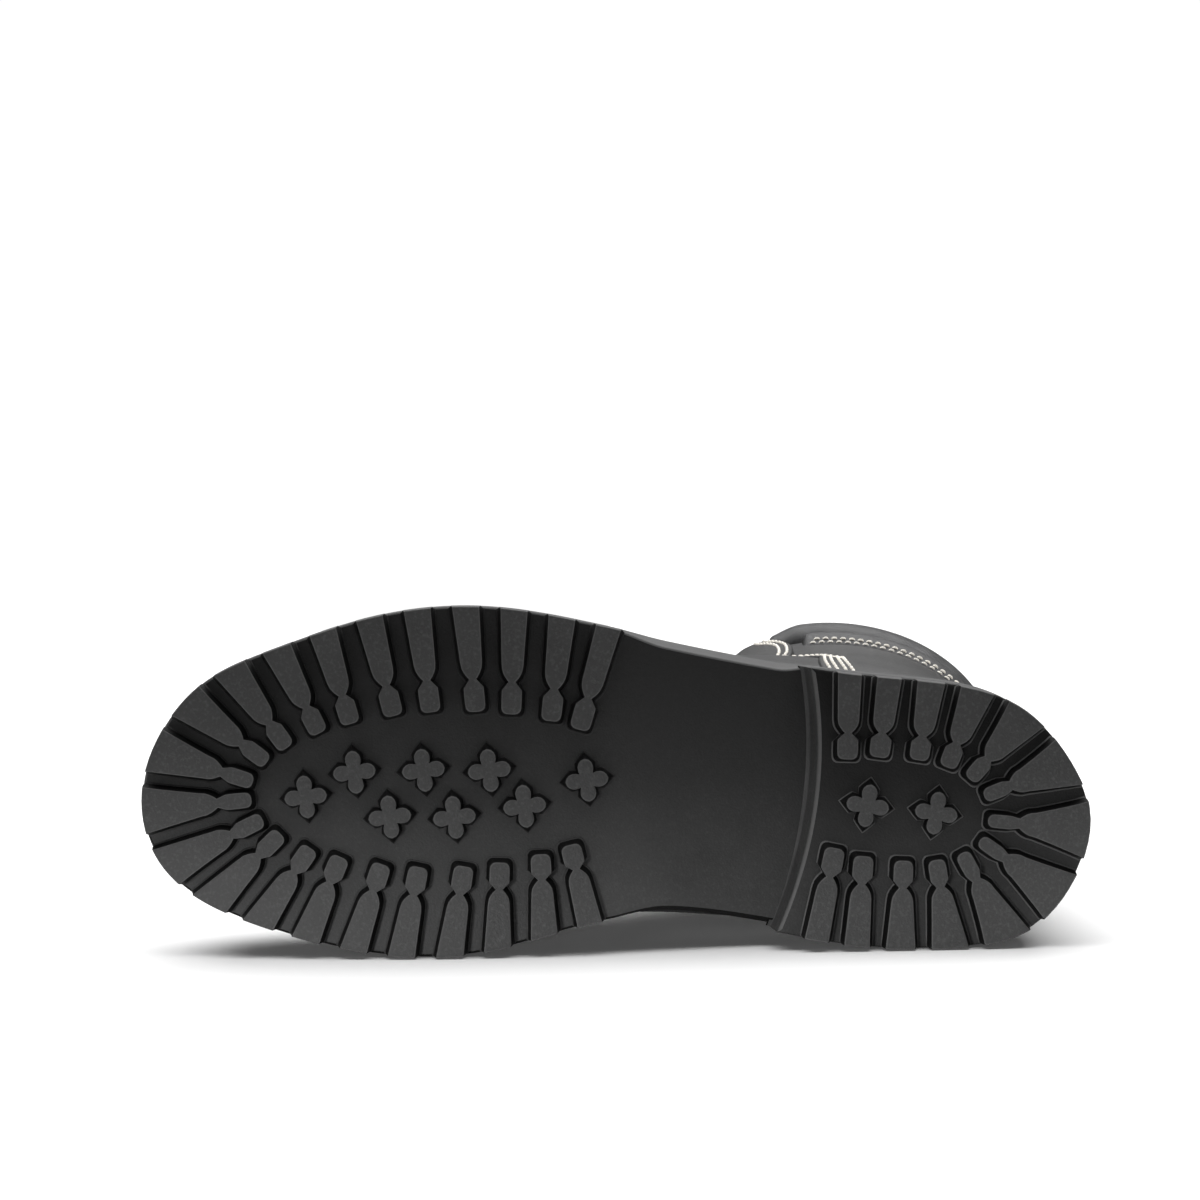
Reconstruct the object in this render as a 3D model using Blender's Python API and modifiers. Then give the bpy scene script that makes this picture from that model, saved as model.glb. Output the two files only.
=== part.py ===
"""Left logger boot, lying on its medial side.

The boot is modelled standing, in its own frame in millimetres: X is the station along the
sole from the back of the heel to the toe, Y is the lateral side, Z is up from the ground.
An empty then lays it down on its medial side, sole facing -Y, toe at -X, lateral side up.
"""
import math

import bmesh
import bpy
import numpy as np
from mathutils import Matrix, Vector

MM = 0.001
GAP = 0.3                 # air between pieces that touch
CURVE_GAP = 0.5           # the same between two curved edges, which are made of short flats
NAME = "logger_boot"

# Driving sizes of the boot, in mm.
SOLE_LENGTH = 307.0
HEEL_SET_IN = 0.4         # the heel block's joint with the slab is set in this much
HEEL_SUNK = 1.2           # and sinks this far into the slab over the waist's level
LUG_HEIGHT = 5.0
LUG_SIDE = 3.0            # how far a lug runs up the side of the sole
LUG_PROUD = 1.0           # how far its outer end stands out of that side
LUG_END_DRAFT = 0.8       # how far the outer end leans in towards the face
LUG_DRAFT = 0.7           # how much wider a lug is at its root than at its face
TOE_SPRING = 18.0
FLAT_END = 195.0          # station where the tread starts to curve up to the toe
ARCH_RISE = 11.5          # from the forefoot's bare level to the waist's
ARCH_END = 156.0          # station where the waist meets the forefoot
BREAST = 87.4             # station of the heel's front edge where it reaches furthest back
BREAST_CENTRE = 20.0
BREAST_BOW = 0.0036       # bow of that edge, 1/mm
BREAST_LEAN = 2.3         # the breast's foot lies this much nearer the toe
WAIST_BEVEL = 1.6         # the waist's lower edge is set in
WELT_THICKNESS = 3.0
WELT_HEEL = 4.0           # width of the ledge outside the upper, at the heel
WELT_TOE = 5.2            # and at the toe
WELT_SET_IN = 0.4         # its outer edge lies this far inside the outsole's
WALL = 2.2                # leather and lining of the upper
THROAT_HALF = (15.0, 18.0)   # half the throat's width at its foot and at the top
INSOLE_THICKNESS = 4.0
TONGUE_THICKNESS = 4.0
TONGUE_HALF = 32.0
TONGUE_TUCK = 0.7         # rows of the table that the tongue reaches under the vamp
COLLAR_OUT = 6.3          # how far the padded collar bulges outside the wall
COLLAR_IN = 4.0
COLLAR_CLEAR = 0.012      # share of the girth and of a row left free at its ends and foot
COLLAR_END = 0.45         # how full the padding still is at its ends
COLLAR_ROUNDING = 0.8     # below 1 the roll's section is squarer than an ellipse
EYELET_PAIRS = 7
EYELET_FROM_EDGE = 11.0   # from the throat's edge
EYELET_FROM_END = 11.0    # first and last pair, from the throat's foot and the top
EYELET_HOLE = 3.5         # radius of the hole in the leather
HOLE_SIDES = 10
EYELET_SIDES = 8
# Section of an eyelet ring. Columns: radius, height above the leather.
EYELET_PROFILE = (
    (2.5, 1.6),
    (4.8, 0.8),
    (3.0, 0.8),
    (3.0, -2.0),
    (2.5, -2.0),
)
LACE_WIDTH = 5.0
LACE_THICKNESS = 2.2
LACE_CLEAR = 1.2          # air under the flat lace, over the facings' edges
LACE_OVERLAP = 1.5        # how far a crossing reaches over the facing's edge
LACE_LIFT = 0.9           # how much higher the upper one of two crossing laces lies

# Outline of the tread. The stations are spaced as the cosines of equal angles, so that
# the ends come out round. Columns: name, lateral edge, medial edge.
OUTLINE = (
    ("heel back", -4.0, -4.0),
    ("heel curve", 12.9, -22.9),
    ("heel corner", 30.9, -39.6),
    ("heel", 39.4, -44.6),
    ("heel breast", 42.8, -43.8),
    ("waist", 48.9, -37.2),
    ("joint", 57.5, -35.2),
    ("ball", 64.4, -45.4),
    ("tread", 61.4, -46.7),
    ("toe joint", 51.1, -40.0),
    ("toe curve", 39.6, -30.8),
    ("toe corner", 21.2, -17.4),
    ("toe tip", 1.2, 1.2),
)

# Top face of the outsole seen from the side. Columns: station, height.
SEAT = (
    (0.0, 34.0),
    (45.0, 32.0),
    (90.0, 26.5),
    (130.0, 18.8),
    (165.0, 12.4),
    (195.0, 11.1),
    (225.0, 12.6),
    (265.0, 19.0),
    (307.0, 29.2),
)

# Sections through the upper, from the toe over the instep to the collar. Each is a plane
# across the boot, from its foot on the feather edge (or, with a rise, on the back seam)
# to its crown on the vamp or shaft front. Columns: name, station of the foot, rise above
# the feather edge, station and height of the crown, side shift of the back seam and of the
# crown, widest lateral and medial reach, how far up it is widest, fullness of the crown.
SECTIONS = (
    ("toe tip", 301.8, 0, 301.8, 31.0, 1.2, 1.2, 1.2, 1.2, 0.50, 2.0),
    ("toe front", 298.0, 0, 299.6, 46.0, 2.0, 2.5, 23.5, -16.0, 0.50, 2.1),
    ("toe box", 285.5, 0, 289.5, 64.0, 3.4, 4.5, 37.5, -26.5, 0.46, 2.4),
    ("toe box back", 262.0, 0, 267.0, 73.5, 6.0, 6.0, 48.5, -35.5, 0.42, 2.4),
    ("ball", 232.0, 0, 238.0, 80.5, 8.0, 6.5, 58.0, -42.5, 0.36, 2.2),
    ("joint", 196.0, 0, 211.0, 90.0, 8.0, 6.5, 60.5, -42.5, 0.32, 2.0),
    ("throat", 162.0, 0, 191.0, 100.0, 8.0, 6.5, 56.5, -38.0, 0.30, 1.9),
    ("instep", 126.0, 0, 177.0, 110.0, 5.0, 6.0, 49.0, -38.5, 0.30, 1.9),
    ("arch", 90.0, 0, 166.0, 119.5, 0.0, 5.5, 46.5, -40.5, 0.32, 1.9),
    ("seat", 50.0, 0, 156.5, 129.0, -3.0, 5.0, 46.0, -41.5, 0.36, 2.0),
    ("heel", 17.0, 0, 149.0, 138.0, -4.0, 5.0, 43.2, -41.0, 0.42, 2.0),
    ("heel back", 4.0, 0, 144.0, 145.0, -4.0, 5.0, 41.0, -39.5, 0.46, 2.0),
    ("counter", 2.6, 30, 139.0, 154.0, -3.0, 5.0, 39.0, -37.5, 0.48, 2.0),
    ("ankle", 9.0, 66, 133.0, 167.0, -0.5, 5.0, 40.0, -34.5, 0.49, 2.0),
    ("shaft", 14.0, 103, 127.5, 184.0, 3.0, 5.0, 43.0, -34.0, 0.50, 2.0),
    ("collar seam", 15.5, 139, 124.5, 200.0, 5.0, 5.0, 45.0, -35.0, 0.50, 2.0),
    ("top", 16.0, 176, 123.0, 213.0, 5.0, 5.0, 45.0, -35.0, 0.50, 2.0),
    ("tongue top", 16.0, 189, 122.0, 226.0, 5.0, 5.0, 45.0, -35.0, 0.50, 2.0),
)
SECTION_NAMES = [row[0] for row in SECTIONS]
THROAT_ROW = SECTION_NAMES.index("throat")
HEEL_ROW = SECTION_NAMES.index("heel back")
COLLAR_ROW = SECTION_NAMES.index("collar seam")
TOP_ROW = SECTION_NAMES.index("top")
TONGUE_ROW = SECTION_NAMES.index("tongue top")

# The two rings of lugs. Their outer ends step along the outline from its heel back, by
# even steps and extra ones that peak at the end of the sole. Their inner tips step round a
# superellipse in the same way, in degrees. Grooves are measured between the outer ends.
LUG_RINGS = {
    "forefoot": {
        "count": 22, "first arc": 179.7, "arc step": 15.6, "extra arc": 5.0,
        "peak lug": 10.7, "arc spread": 2.6, "groove": 6.8, "extra groove": -1.8,
        "centre": (207.3, 6.4), "half length front": 64.0, "half length back": 61.0,
        "half width": 25.1, "tilt": 0.03, "squareness": 1.0,
        "first angle": 134.7, "angle step": -12.2, "extra angle": -2.0, "angle spread": 2.7,
        "pair lean": 0.6,
    },
    "heel": {
        "count": 13, "first arc": 100.5, "arc step": -12.5, "extra arc": -12.0,
        "peak lug": 6.2, "arc spread": 2.9, "groove": 5.0, "extra groove": 0.6,
        "centre": (61.4, -0.2), "half length front": 33.6, "half length back": 28.8,
        "half width": 16.5, "tilt": -0.07, "squareness": 0.865,
        "first angle": 63.4, "angle step": 17.3, "extra angle": 5.1, "angle spread": 3.8,
        "pair lean": 0.0,
    },
}

# Half width of a lug along its length. Columns: name, share of the length, half width in
# mm on a lug of the usual outer width, change with each mm of extra outer half width. The
# outer end itself follows the outline.
USUAL_HALF = 4.8
LUG_PROFILE = (
    ("shoulder", 0.56, 3.4, 0.1),
    ("pinch", 0.69, 1.2, 0.1),
    ("bulb", 0.77, 3.1, -0.2),
    ("bulb end", 0.95, 3.1, -0.25),
    ("tip", 1.00, 2.2, -0.2),
)

# Cross studs. Columns: name, station, side, turn in degrees.
STUDS = (
    ("toe", 253.4, 3.5, -7.0),
    ("upper 1", 237.5, 11.7, -7.0),
    ("lower 1", 226.0, -2.7, -7.0),
    ("upper 2", 215.1, 12.5, -7.0),
    ("lower 2", 205.1, -2.7, -7.0),
    ("upper 3", 193.8, 12.5, -7.0),
    ("lower 3", 182.4, 0.9, -7.0),
    ("joint", 162.3, 9.3, -7.0),
    ("heel 1", 71.5, 0.9, 9.0),
    ("heel 2", 49.3, -1.5, 9.0),
)
# One petal of a stud. Columns: name, along and beside its axis at the root, then at the face.
PETAL = (
    ("notch", 3.0, 3.0, 2.3, 2.3),
    ("shoulder", 5.4, 3.4, 4.9, 2.4),
    ("tip", 8.9, 0.0, 7.0, 0.0),
)
STUD_HEIGHT = 4.5
ROOT_SUNK = 1.0           # how far a stud reaches into the slab


# ---------------------------------------------------------------- curves

def closed_curve(values, t):
    """Cubic B-spline through evenly spaced values of a closed curve, at t from 0 to 1."""
    count = len(values)
    shift = np.eye(count)
    matrix = (4 * shift + np.roll(shift, 1, axis=1) + np.roll(shift, -1, axis=1)) / 6
    control = np.linalg.solve(matrix, values)
    place = np.asarray(t) * count
    i = np.floor(place).astype(int)
    f = place - i
    weights = ((1 - f) ** 3, 3 * f ** 3 - 6 * f ** 2 + 4, -3 * f ** 3 + 3 * f ** 2 + 3 * f + 1, f ** 3)
    return sum(w * control[(i + k - 1) % count] for k, w in enumerate(weights)) / 6


def through_rows(xs, ys, x):
    """Smooth curve through rows that never swings past them (monotone cubic)."""
    xs, ys, x = (np.asarray(values, dtype=float) for values in (xs, ys, x))
    step = np.diff(xs)
    slope = np.diff(ys) / step
    before, after = slope[:-1], slope[1:]
    same = before * after > 0
    safe_before = np.where(same, before, 1.0)
    safe_after = np.where(same, after, 1.0)
    weight_before = 2 * step[1:] + step[:-1]
    weight_after = step[1:] + 2 * step[:-1]
    mean = (weight_before + weight_after) / (weight_before / safe_before + weight_after / safe_after)
    tangent = np.concatenate(([slope[0]], np.where(same, mean, 0.0), [slope[-1]]))
    i = np.clip(np.searchsorted(xs, x, side="right") - 1, 0, len(step) - 1)
    t = (x - xs[i]) / step[i]
    return (ys[i] * (1 + 2 * t) * (1 - t) ** 2 + ys[i + 1] * t * t * (3 - 2 * t)
            + step[i] * (tangent[i] * t * (1 - t) ** 2 - tangent[i + 1] * t * t * (1 - t)))


def smooth_step(t):
    """0 below 0, 1 above 1, and an S between."""
    t = np.clip(t, 0.0, 1.0)
    return t * t * (3 - 2 * t)


# ---------------------------------------------------------------- the sole's own lines

EDGE_VALUES = [row[1] for row in OUTLINE] + [row[2] for row in OUTLINE[-2:0:-1]]


def outline(t, inset=0.0):
    """Point of the outline at t (0 heel back, 0.5 toe tip, lateral side first), set in."""
    t = np.asarray(t, dtype=float)

    def edge(at):
        return np.stack((SOLE_LENGTH / 2 * (1 - np.cos(2 * np.pi * at)), closed_curve(EDGE_VALUES, at)), -1)

    small = 1e-4
    along = edge(t + small) - edge(t - small)
    along /= np.linalg.norm(along, axis=-1, keepdims=True)
    inward = np.stack((along[..., 1], -along[..., 0]), -1)
    return edge(t) + inward * np.asarray(inset)[..., None]


def tread_z(s):
    """Ground side of the lugs: flat at heel and ball, curving up to the toe."""
    past = np.maximum(np.asarray(s, dtype=float) - FLAT_END, 0)
    return TOE_SPRING * (past / (SOLE_LENGTH - FLAT_END)) ** 1.7


def bare_z(s):
    """Bare underside of the sole between the lugs, rising over the arch."""
    rise = ARCH_RISE * smooth_step((ARCH_END - np.asarray(s)) / (ARCH_END - BREAST))
    return tread_z(s) + LUG_HEIGHT + rise


def seat_z(s):
    """Top face of the outsole."""
    return through_rows([row[0] for row in SEAT], [row[1] for row in SEAT], s)


def feather_z(s):
    """Level of the welt's top, where the upper leaves the welt."""
    return seat_z(s) + GAP + WELT_THICKNESS


def welt_ledge(t):
    """Width of the ledge outside the upper at t."""
    return WELT_HEEL + (WELT_TOE - WELT_HEEL) * (1 - np.cos(2 * np.pi * np.asarray(t))) / 2


FINE = np.linspace(0.0, 1.0, 1441)
FEATHER = outline(FINE, welt_ledge(FINE))
HALF = len(FINE) // 2
ARC = np.concatenate(([0.0], np.cumsum(np.linalg.norm(np.diff(outline(FINE), axis=0), axis=1))))


def feather_side(s, lateral):
    """Side position of the feather edge at a station, on the lateral or medial side."""
    near = FEATHER[:HALF + 1] if lateral else FEATHER[:HALF - 1:-1]
    return np.interp(s, near[:, 0], near[:, 1])


# ---------------------------------------------------------------- the upper's own surface

WIDEST_AT = 0.4           # share of a half section's parameter below its widest point
TINY = 1e-6
COLUMNS = ("foot", "rise", "crown s", "crown z", "seam", "crown side", "lateral", "medial",
           "widest", "fullness")


def section(u):
    """The table's columns at u, counted in rows of the table. Where the foot stands on the
    sole the seam column becomes the middle of the feather edge."""
    rows = np.arange(len(SECTIONS))
    at = {name: through_rows(rows, [row[k + 1] for row in SECTIONS], u) for k, name in enumerate(COLUMNS)}
    at["on sole"] = at["rise"] <= 0
    middle = (feather_side(at["foot"], True) + feather_side(at["foot"], False)) / 2
    at["seam"] = np.where(at["on sole"], middle, at["seam"])
    return at


def half_reach(at, lateral):
    """Reach of a section to one side of its middle line."""
    middle = at["seam"] + (at["crown side"] - at["seam"]) * at["widest"]
    return np.where(lateral, at["lateral"], at["medial"]) - middle


def surface(u, across):
    """Outer face of the upper. across runs from +1 at the lateral foot over 0 at the crown
    to -1 at the medial foot. Below its widest point a half section is an arc of an ellipse
    that starts on the feather edge (on the back seam: at the seam); above it is a quarter
    of a superellipse whose exponent is the crown's fullness."""
    u, across = np.broadcast_arrays(np.asarray(u, dtype=float), np.asarray(across, dtype=float))
    lateral = across >= 0
    q = 1 - np.abs(across)
    at = section(u)
    edge = np.where(lateral, feather_side(at["foot"], True), feather_side(at["foot"], False))
    start = np.where(at["on sole"], edge, at["seam"])
    foot_z = feather_z(at["foot"]) + np.maximum(at["rise"], 0)
    reach = half_reach(at, lateral)
    safe_reach = np.where(np.abs(reach) < TINY, 1.0, reach)
    first = np.arcsin(np.clip((start - at["seam"]) / safe_reach, 0.0, 0.995))
    low = first + (np.pi / 2 - first) * np.clip(q / WIDEST_AT, 0, 1)
    high = np.pi / 2 * np.clip((q - WIDEST_AT) / (1 - WIDEST_AT), 0, 1)
    below = q < WIDEST_AT
    power = 2 / at["fullness"]
    up = np.where(below, at["widest"] * (1 - np.cos(low) / np.cos(first)),
                  at["widest"] + (1 - at["widest"]) * np.sin(high) ** power)
    beside = reach * np.where(below, np.sin(low), np.cos(high) ** power)
    return np.stack((at["foot"] + (at["crown s"] - at["foot"]) * up,
                     at["seam"] + (at["crown side"] - at["seam"]) * up + beside,
                     foot_z + (at["crown z"] - foot_z) * up), -1)


def crown_across(u, half, lateral, limit=0.999):
    """Across value at a side distance from the crown line, at most a share of the reach."""
    at = section(u)
    share = np.minimum(half / np.maximum(np.abs(half_reach(at, lateral)), TINY), limit)
    high = np.arccos(share ** (at["fullness"] / 2))
    q = WIDEST_AT + (1 - WIDEST_AT) * high / (np.pi / 2)
    return np.where(lateral, 1 - q, q - 1)


def outward(u, across):
    """Unit normal of the surface, pointing out of the boot."""
    small = 1e-3
    along = surface(u + small, across) - surface(u - small, across)
    over = surface(u, across - small) - surface(u, across + small)
    normal = np.cross(along, over)
    return normal / np.linalg.norm(normal, axis=-1, keepdims=True)


def throat_half(u):
    """Half the throat's width at u."""
    share = np.clip((np.asarray(u, dtype=float) - THROAT_ROW) / (TOP_ROW - THROAT_ROW), 0, 1)
    return THROAT_HALF[0] + (THROAT_HALF[1] - THROAT_HALF[0]) * share


# ---------------------------------------------------------------- meshes and objects

def grid_faces(rows, columns, keep=None):
    """Quads of a grid of points, row by row; keep is a mask of the quads."""
    index = np.arange(rows * columns).reshape(rows, columns)
    quads = np.stack((index[:-1, :-1], index[1:, :-1], index[1:, 1:], index[:-1, 1:]), -1)
    return (quads if keep is None else quads[keep]).reshape(-1, 4)


def new_object(name, points, faces, collection, recalculate=True):
    """Mesh object from points in mm: doubles merged and, on a closed body, faces turned out."""
    mesh = bpy.data.meshes.new(name)
    mesh.from_pydata([tuple(p) for p in np.asarray(points).reshape(-1, 3) * MM], [],
                     [tuple(int(i) for i in face) for face in faces])
    work = bmesh.new()
    work.from_mesh(mesh)
    bmesh.ops.remove_doubles(work, verts=work.verts, dist=1e-6)
    bmesh.ops.dissolve_degenerate(work, edges=work.edges, dist=1e-6)
    if recalculate:
        bmesh.ops.recalc_face_normals(work, faces=work.faces)
    work.to_mesh(mesh)
    work.free()
    item = bpy.data.objects.new(name, mesh)
    collection.objects.link(item)
    return item


def prism(low, high):
    """Points and faces of a body between two rings of equally many points."""
    count = len(low)
    ring = np.arange(count)
    turn = (ring + 1) % count
    sides = np.stack((ring, turn, turn + count, ring + count), -1)
    faces = [tuple(ring[::-1])] + [tuple(ring + count)] + [tuple(side) for side in sides]
    return np.concatenate((low, high)), faces


def joined(bodies):
    """Several bodies (points, faces) as one list of points and one of faces."""
    points, faces, start = [], [], 0
    for body_points, body_faces in bodies:
        points.append(body_points)
        faces += [tuple(i + start for i in face) for face in body_faces]
        start += len(body_points)
    return np.concatenate(points), faces


def ladder(t_half, low_inset, high_inset, low_z, high_z):
    """Plate across the sole between two set-in outlines, with its faces ruled from side to
    side. t_half holds the lateral side's parameters from heel back (0) to toe tip (0.5)."""
    rows = []
    for inset, height in ((low_inset, low_z), (high_inset, high_z)):
        for t in (t_half, 1 - t_half):
            edge = outline(t, inset(t))
            rows.append(np.column_stack((edge, height(edge[:, 0]))))
    low_out, low_in, high_out, high_in = rows
    grid = np.stack((low_in, low_out, high_out, high_in, low_in), axis=1)
    return grid.reshape(-1, 3), grid_faces(len(t_half), 5)


def ring_body(t, corners):
    """Closed band round the sole: corners are four functions of t giving its points."""
    grid = np.stack([corner(t) for corner in corners + corners[:1]], axis=1)
    grid = np.concatenate((grid, grid[:1]))
    return grid.reshape(-1, 3), grid_faces(len(t) + 1, len(corners) + 1)


def add_modifier(item, name, kind, **settings):
    """Modifier with its settings."""
    modifier = item.modifiers.new(name, kind)
    for key, value in settings.items():
        setattr(modifier, key, value)
    return modifier


def material(name, colour, roughness, metallic=0.0):
    """Principled material of one colour (linear)."""
    made = bpy.data.materials.new(name)
    made.use_nodes = True
    shader = made.node_tree.nodes["Principled BSDF"]
    shader.inputs["Base Color"].default_value = (*colour, 1.0)
    shader.inputs["Roughness"].default_value = roughness
    shader.inputs["Metallic"].default_value = metallic
    return made


def clear_scene():
    """Remove whatever the file opened with."""
    for item in list(bpy.data.objects):
        bpy.data.objects.remove(item, do_unlink=True)
    for group in list(bpy.data.collections):
        bpy.data.collections.remove(group)


def new_collection(name):
    """Collection under the scene's own."""
    group = bpy.data.collections.new(name)
    bpy.context.scene.collection.children.link(group)
    return group


# ---------------------------------------------------------------- outsole

def peaked(count, first, step, extra, peak, spread):
    """Places that step evenly, with extra steps that peak at one of them."""
    between = np.arange(count - 1) + 0.5
    steps = step + extra * np.exp(-((between - peak) / spread) ** 2)
    return first + np.concatenate(([0.0], np.cumsum(steps)))


def lug_ring(ring):
    """For each lug of a ring: where its outer end starts and stops along the outline, and
    its inner tip."""
    count = ring["count"]
    arcs = peaked(count, ring["first arc"], ring["arc step"], ring["extra arc"],
                  ring["peak lug"], ring["arc spread"])
    angles = peaked(count, ring["first angle"], ring["angle step"], ring["extra angle"],
                    (count - 1) / 2, ring["angle spread"])
    lean = np.where(np.arange(count) % 2 == 0, ring["pair lean"], -ring["pair lean"])
    arcs = arcs + lean / 2
    angles = np.radians(angles - lean)
    steps = np.abs(np.diff(arcs))
    near_peak = np.exp(-((np.arange(count) - ring["peak lug"]) / ring["arc spread"]) ** 2)
    groove = ring["groove"] + ring["extra groove"] * near_peak
    before = (np.concatenate((steps[:1], steps)) - groove) / 2
    after = (np.concatenate((steps, steps[-1:])) - groove) / 2
    way = np.sign(ring["arc step"])
    spans = np.stack((arcs - way * before, arcs + way * after), -1)
    cosine, sine = np.cos(angles), np.sin(angles)
    length = np.where(cosine > 0, ring["half length front"], ring["half length back"])
    station = ring["centre"][0] + length * np.sign(cosine) * np.abs(cosine) ** ring["squareness"]
    side = (ring["centre"][1] - ring["tilt"] * (station - ring["centre"][0])
            + ring["half width"] * np.sign(sine) * np.abs(sine) ** ring["squareness"])
    return spans, np.stack((station, side), -1)


def on_outline(arc, inset):
    """Point of the outline at a length along it from the heel back, set in."""
    return outline(np.interp(arc % ARC[-1], ARC, FINE), inset)


def lug(span, tip, low_z, high_z):
    """One lug: its face ring and its wider root ring, joined as a body."""
    half = abs(span[1] - span[0]) / 2
    corners = np.sort(span)[::-1]
    shares = np.array([row[1] for row in LUG_PROFILE])[:, None]
    halves = np.array([row[2] + row[3] * (half - USUAL_HALF) for row in LUG_PROFILE])
    rings = []
    for grow, inset, height in ((0.0, LUG_END_DRAFT - LUG_PROUD, low_z), (LUG_DRAFT, -LUG_PROUD, high_z)):
        ends = on_outline(corners + (grow, -grow), inset)
        outer = on_outline(corners.mean(), inset)
        along = (tip - outer) / np.linalg.norm(tip - outer)
        beside = np.array((-along[1], along[0]))
        spine = outer + shares * (tip - outer)
        spine[-1] += along * grow
        reach = (halves + grow)[:, None] * beside
        ring = np.concatenate((outer[None], ends[:1], spine + reach, (spine - reach)[::-1], ends[1:]))
        rings.append(np.column_stack((ring, height(ring[:, 0]))))
    return prism(*rings)


def stud(station, side, turn, low_z, high_z):
    """One cross stud with four pointed petals, rounded at its face."""
    rings = []
    for column, height in ((3, low_z), (1, high_z)):
        petal = [(row[column], row[column + 1]) for row in PETAL]
        petal += [(along, -beside) for along, beside in petal[-2:0:-1]]
        ring = []
        for quarter in range(4):
            angle = math.radians(turn - 90 * quarter)
            spin = np.array(((math.cos(angle), -math.sin(angle)), (math.sin(angle), math.cos(angle))))
            ring += [spin @ np.array(point) for point in petal]
        ring = np.array(ring) + (station, side)
        rings.append(np.column_stack((ring, height(ring[:, 0]))))
    return prism(*rings)


def breast_line(side, lean):
    """Station of the heel's front edge at a side position."""
    return BREAST + lean + BREAST_BOW * (side - BREAST_CENTRE) ** 2


def breast_corner(inset, lean, lateral):
    """Side position where the breast's bowed line meets the outline."""
    edge = outline(FINE[1:HALF] if lateral else 1 - FINE[1:HALF], inset)
    return edge[np.argmin(np.abs(edge[:, 0] - breast_line(edge[:, 1], lean))), 1]


def heel_block():
    """The heel under the seat: the outline's back part, closed by the bowed breast."""
    bodies = []
    top = LUG_HEIGHT + ARCH_RISE + HEEL_SUNK
    for lean, inset, height in ((0.0, 0.0, LUG_HEIGHT), (BREAST_LEAN, HEEL_SET_IN, top)):
        edge = outline(FINE[::15], inset)
        back = edge[:, 0] < breast_line(edge[:, 1], lean) - 1.0
        half = len(edge) // 2
        lateral = edge[:half][back[:half]]
        medial = edge[half:-1][back[half:-1]]
        side = np.linspace(breast_corner(inset, lean, True), breast_corner(inset, lean, False), 9)
        breast = np.stack((breast_line(side, lean), side), -1)
        ring = np.concatenate((medial, lateral, breast))
        bodies.append(np.column_stack((ring, np.full(len(ring), height))))
    return prism(*bodies)


def outsole(parts, cutters):
    """Moulded rubber unit: slab, heel block, lugs and studs in one body."""
    t_half = np.linspace(0.0, 0.5, 37)

    def waist_inset(t):
        station = SOLE_LENGTH / 2 * (1 - np.cos(2 * np.pi * t))
        return WAIST_BEVEL * smooth_step((station - BREAST) / 12) * smooth_step((ARCH_END - station) / 20)

    def heel_bare(station):
        return np.full_like(station, LUG_HEIGHT)

    def stud_face(station):
        return tread_z(station) + LUG_HEIGHT - STUD_HEIGHT

    body = new_object("outsole", *ladder(t_half, waist_inset, np.zeros_like, bare_z, seat_z), parts)
    heel = new_object("heel_form", *heel_block(), cutters)
    tread = []
    for name, ring in LUG_RINGS.items():
        floor = heel_bare if name == "heel" else bare_z
        for span, tip in zip(*lug_ring(ring)):
            tread.append(lug(span, tip, tread_z, lambda station: floor(station) + LUG_SIDE))
    for name, station, side, turn in STUDS:
        floor = heel_bare if name.startswith("heel") else bare_z
        tread.append(stud(station, side, turn, stud_face, lambda at: floor(at) + ROOT_SUNK))
    lugs = new_object("tread_form", *joined(tread), cutters)
    add_modifier(body, "heel", "BOOLEAN", operation="UNION", object=heel)
    add_modifier(body, "tread", "BOOLEAN", operation="UNION", object=lugs)
    return body


# ---------------------------------------------------------------- welt and insole

def welt(parts):
    """Strip on the outsole's edge, all round the foot of the upper."""
    t = np.linspace(0.0, 1.0, 64, endpoint=False)

    def corner(edge_at, height):
        def at(values):
            edge = outline(values, edge_at(values))
            return np.column_stack((edge, seat_z(edge[:, 0]) + height))
        return at

    def outer(values):
        return np.full_like(values, WELT_SET_IN)

    def inner(values):
        return welt_ledge(values) - CURVE_GAP

    top = GAP + WELT_THICKNESS
    corners = [corner(outer, GAP), corner(outer, top), corner(inner, top), corner(inner, GAP)]
    return new_object("welt", *ring_body(t, corners), parts)


def insole(parts):
    """Footbed inside the upper's wall."""
    t_half = np.linspace(0.0, 0.5, 29)

    def inset(values):
        return welt_ledge(values) + WALL + 3 * CURVE_GAP

    def low(station):
        return seat_z(station) + GAP

    def high(station):
        return low(station) + INSOLE_THICKNESS

    return new_object("insole", *ladder(t_half, inset, inset, low, high), parts)


# ---------------------------------------------------------------- upper

VAMP_ROWS = 12            # grid rows from the toe tip to the throat
QUARTER_ROWS = 13         # from the throat to the back of the heel
SHAFT_STEPS = 2           # and for each row of the table above that
LOW_COLUMNS = 3
HIGH_COLUMNS = 5
FACING_COLUMN = 2         # of the high columns, where the facing ends and the collar starts


def grid_rows(vamp, quarter, shaft):
    """u of the grid's rows. On the sole their feet are spaced as the cosines of equal
    angles between three stations, toe tip, throat row and heel back."""
    fine = np.linspace(HEEL_ROW, 0, 2001)
    foot = section(fine)["foot"]
    heel, toe = foot[0], foot[-1]
    turn = np.arccos(1 - 2 * (section(THROAT_ROW)["foot"] - heel) / (toe - heel))
    angles = np.concatenate((np.linspace(np.pi, turn, vamp + 1), np.linspace(turn, 0, quarter + 1)[1:]))
    on_sole = np.interp(heel + (toe - heel) * (1 - np.cos(angles)) / 2, foot, fine)
    on_sole[[0, vamp, -1]] = 0, THROAT_ROW, HEEL_ROW
    above = HEEL_ROW + np.arange(1, (TOP_ROW - HEEL_ROW) * shaft + 1) / shaft
    return np.concatenate((on_sole, above))


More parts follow.
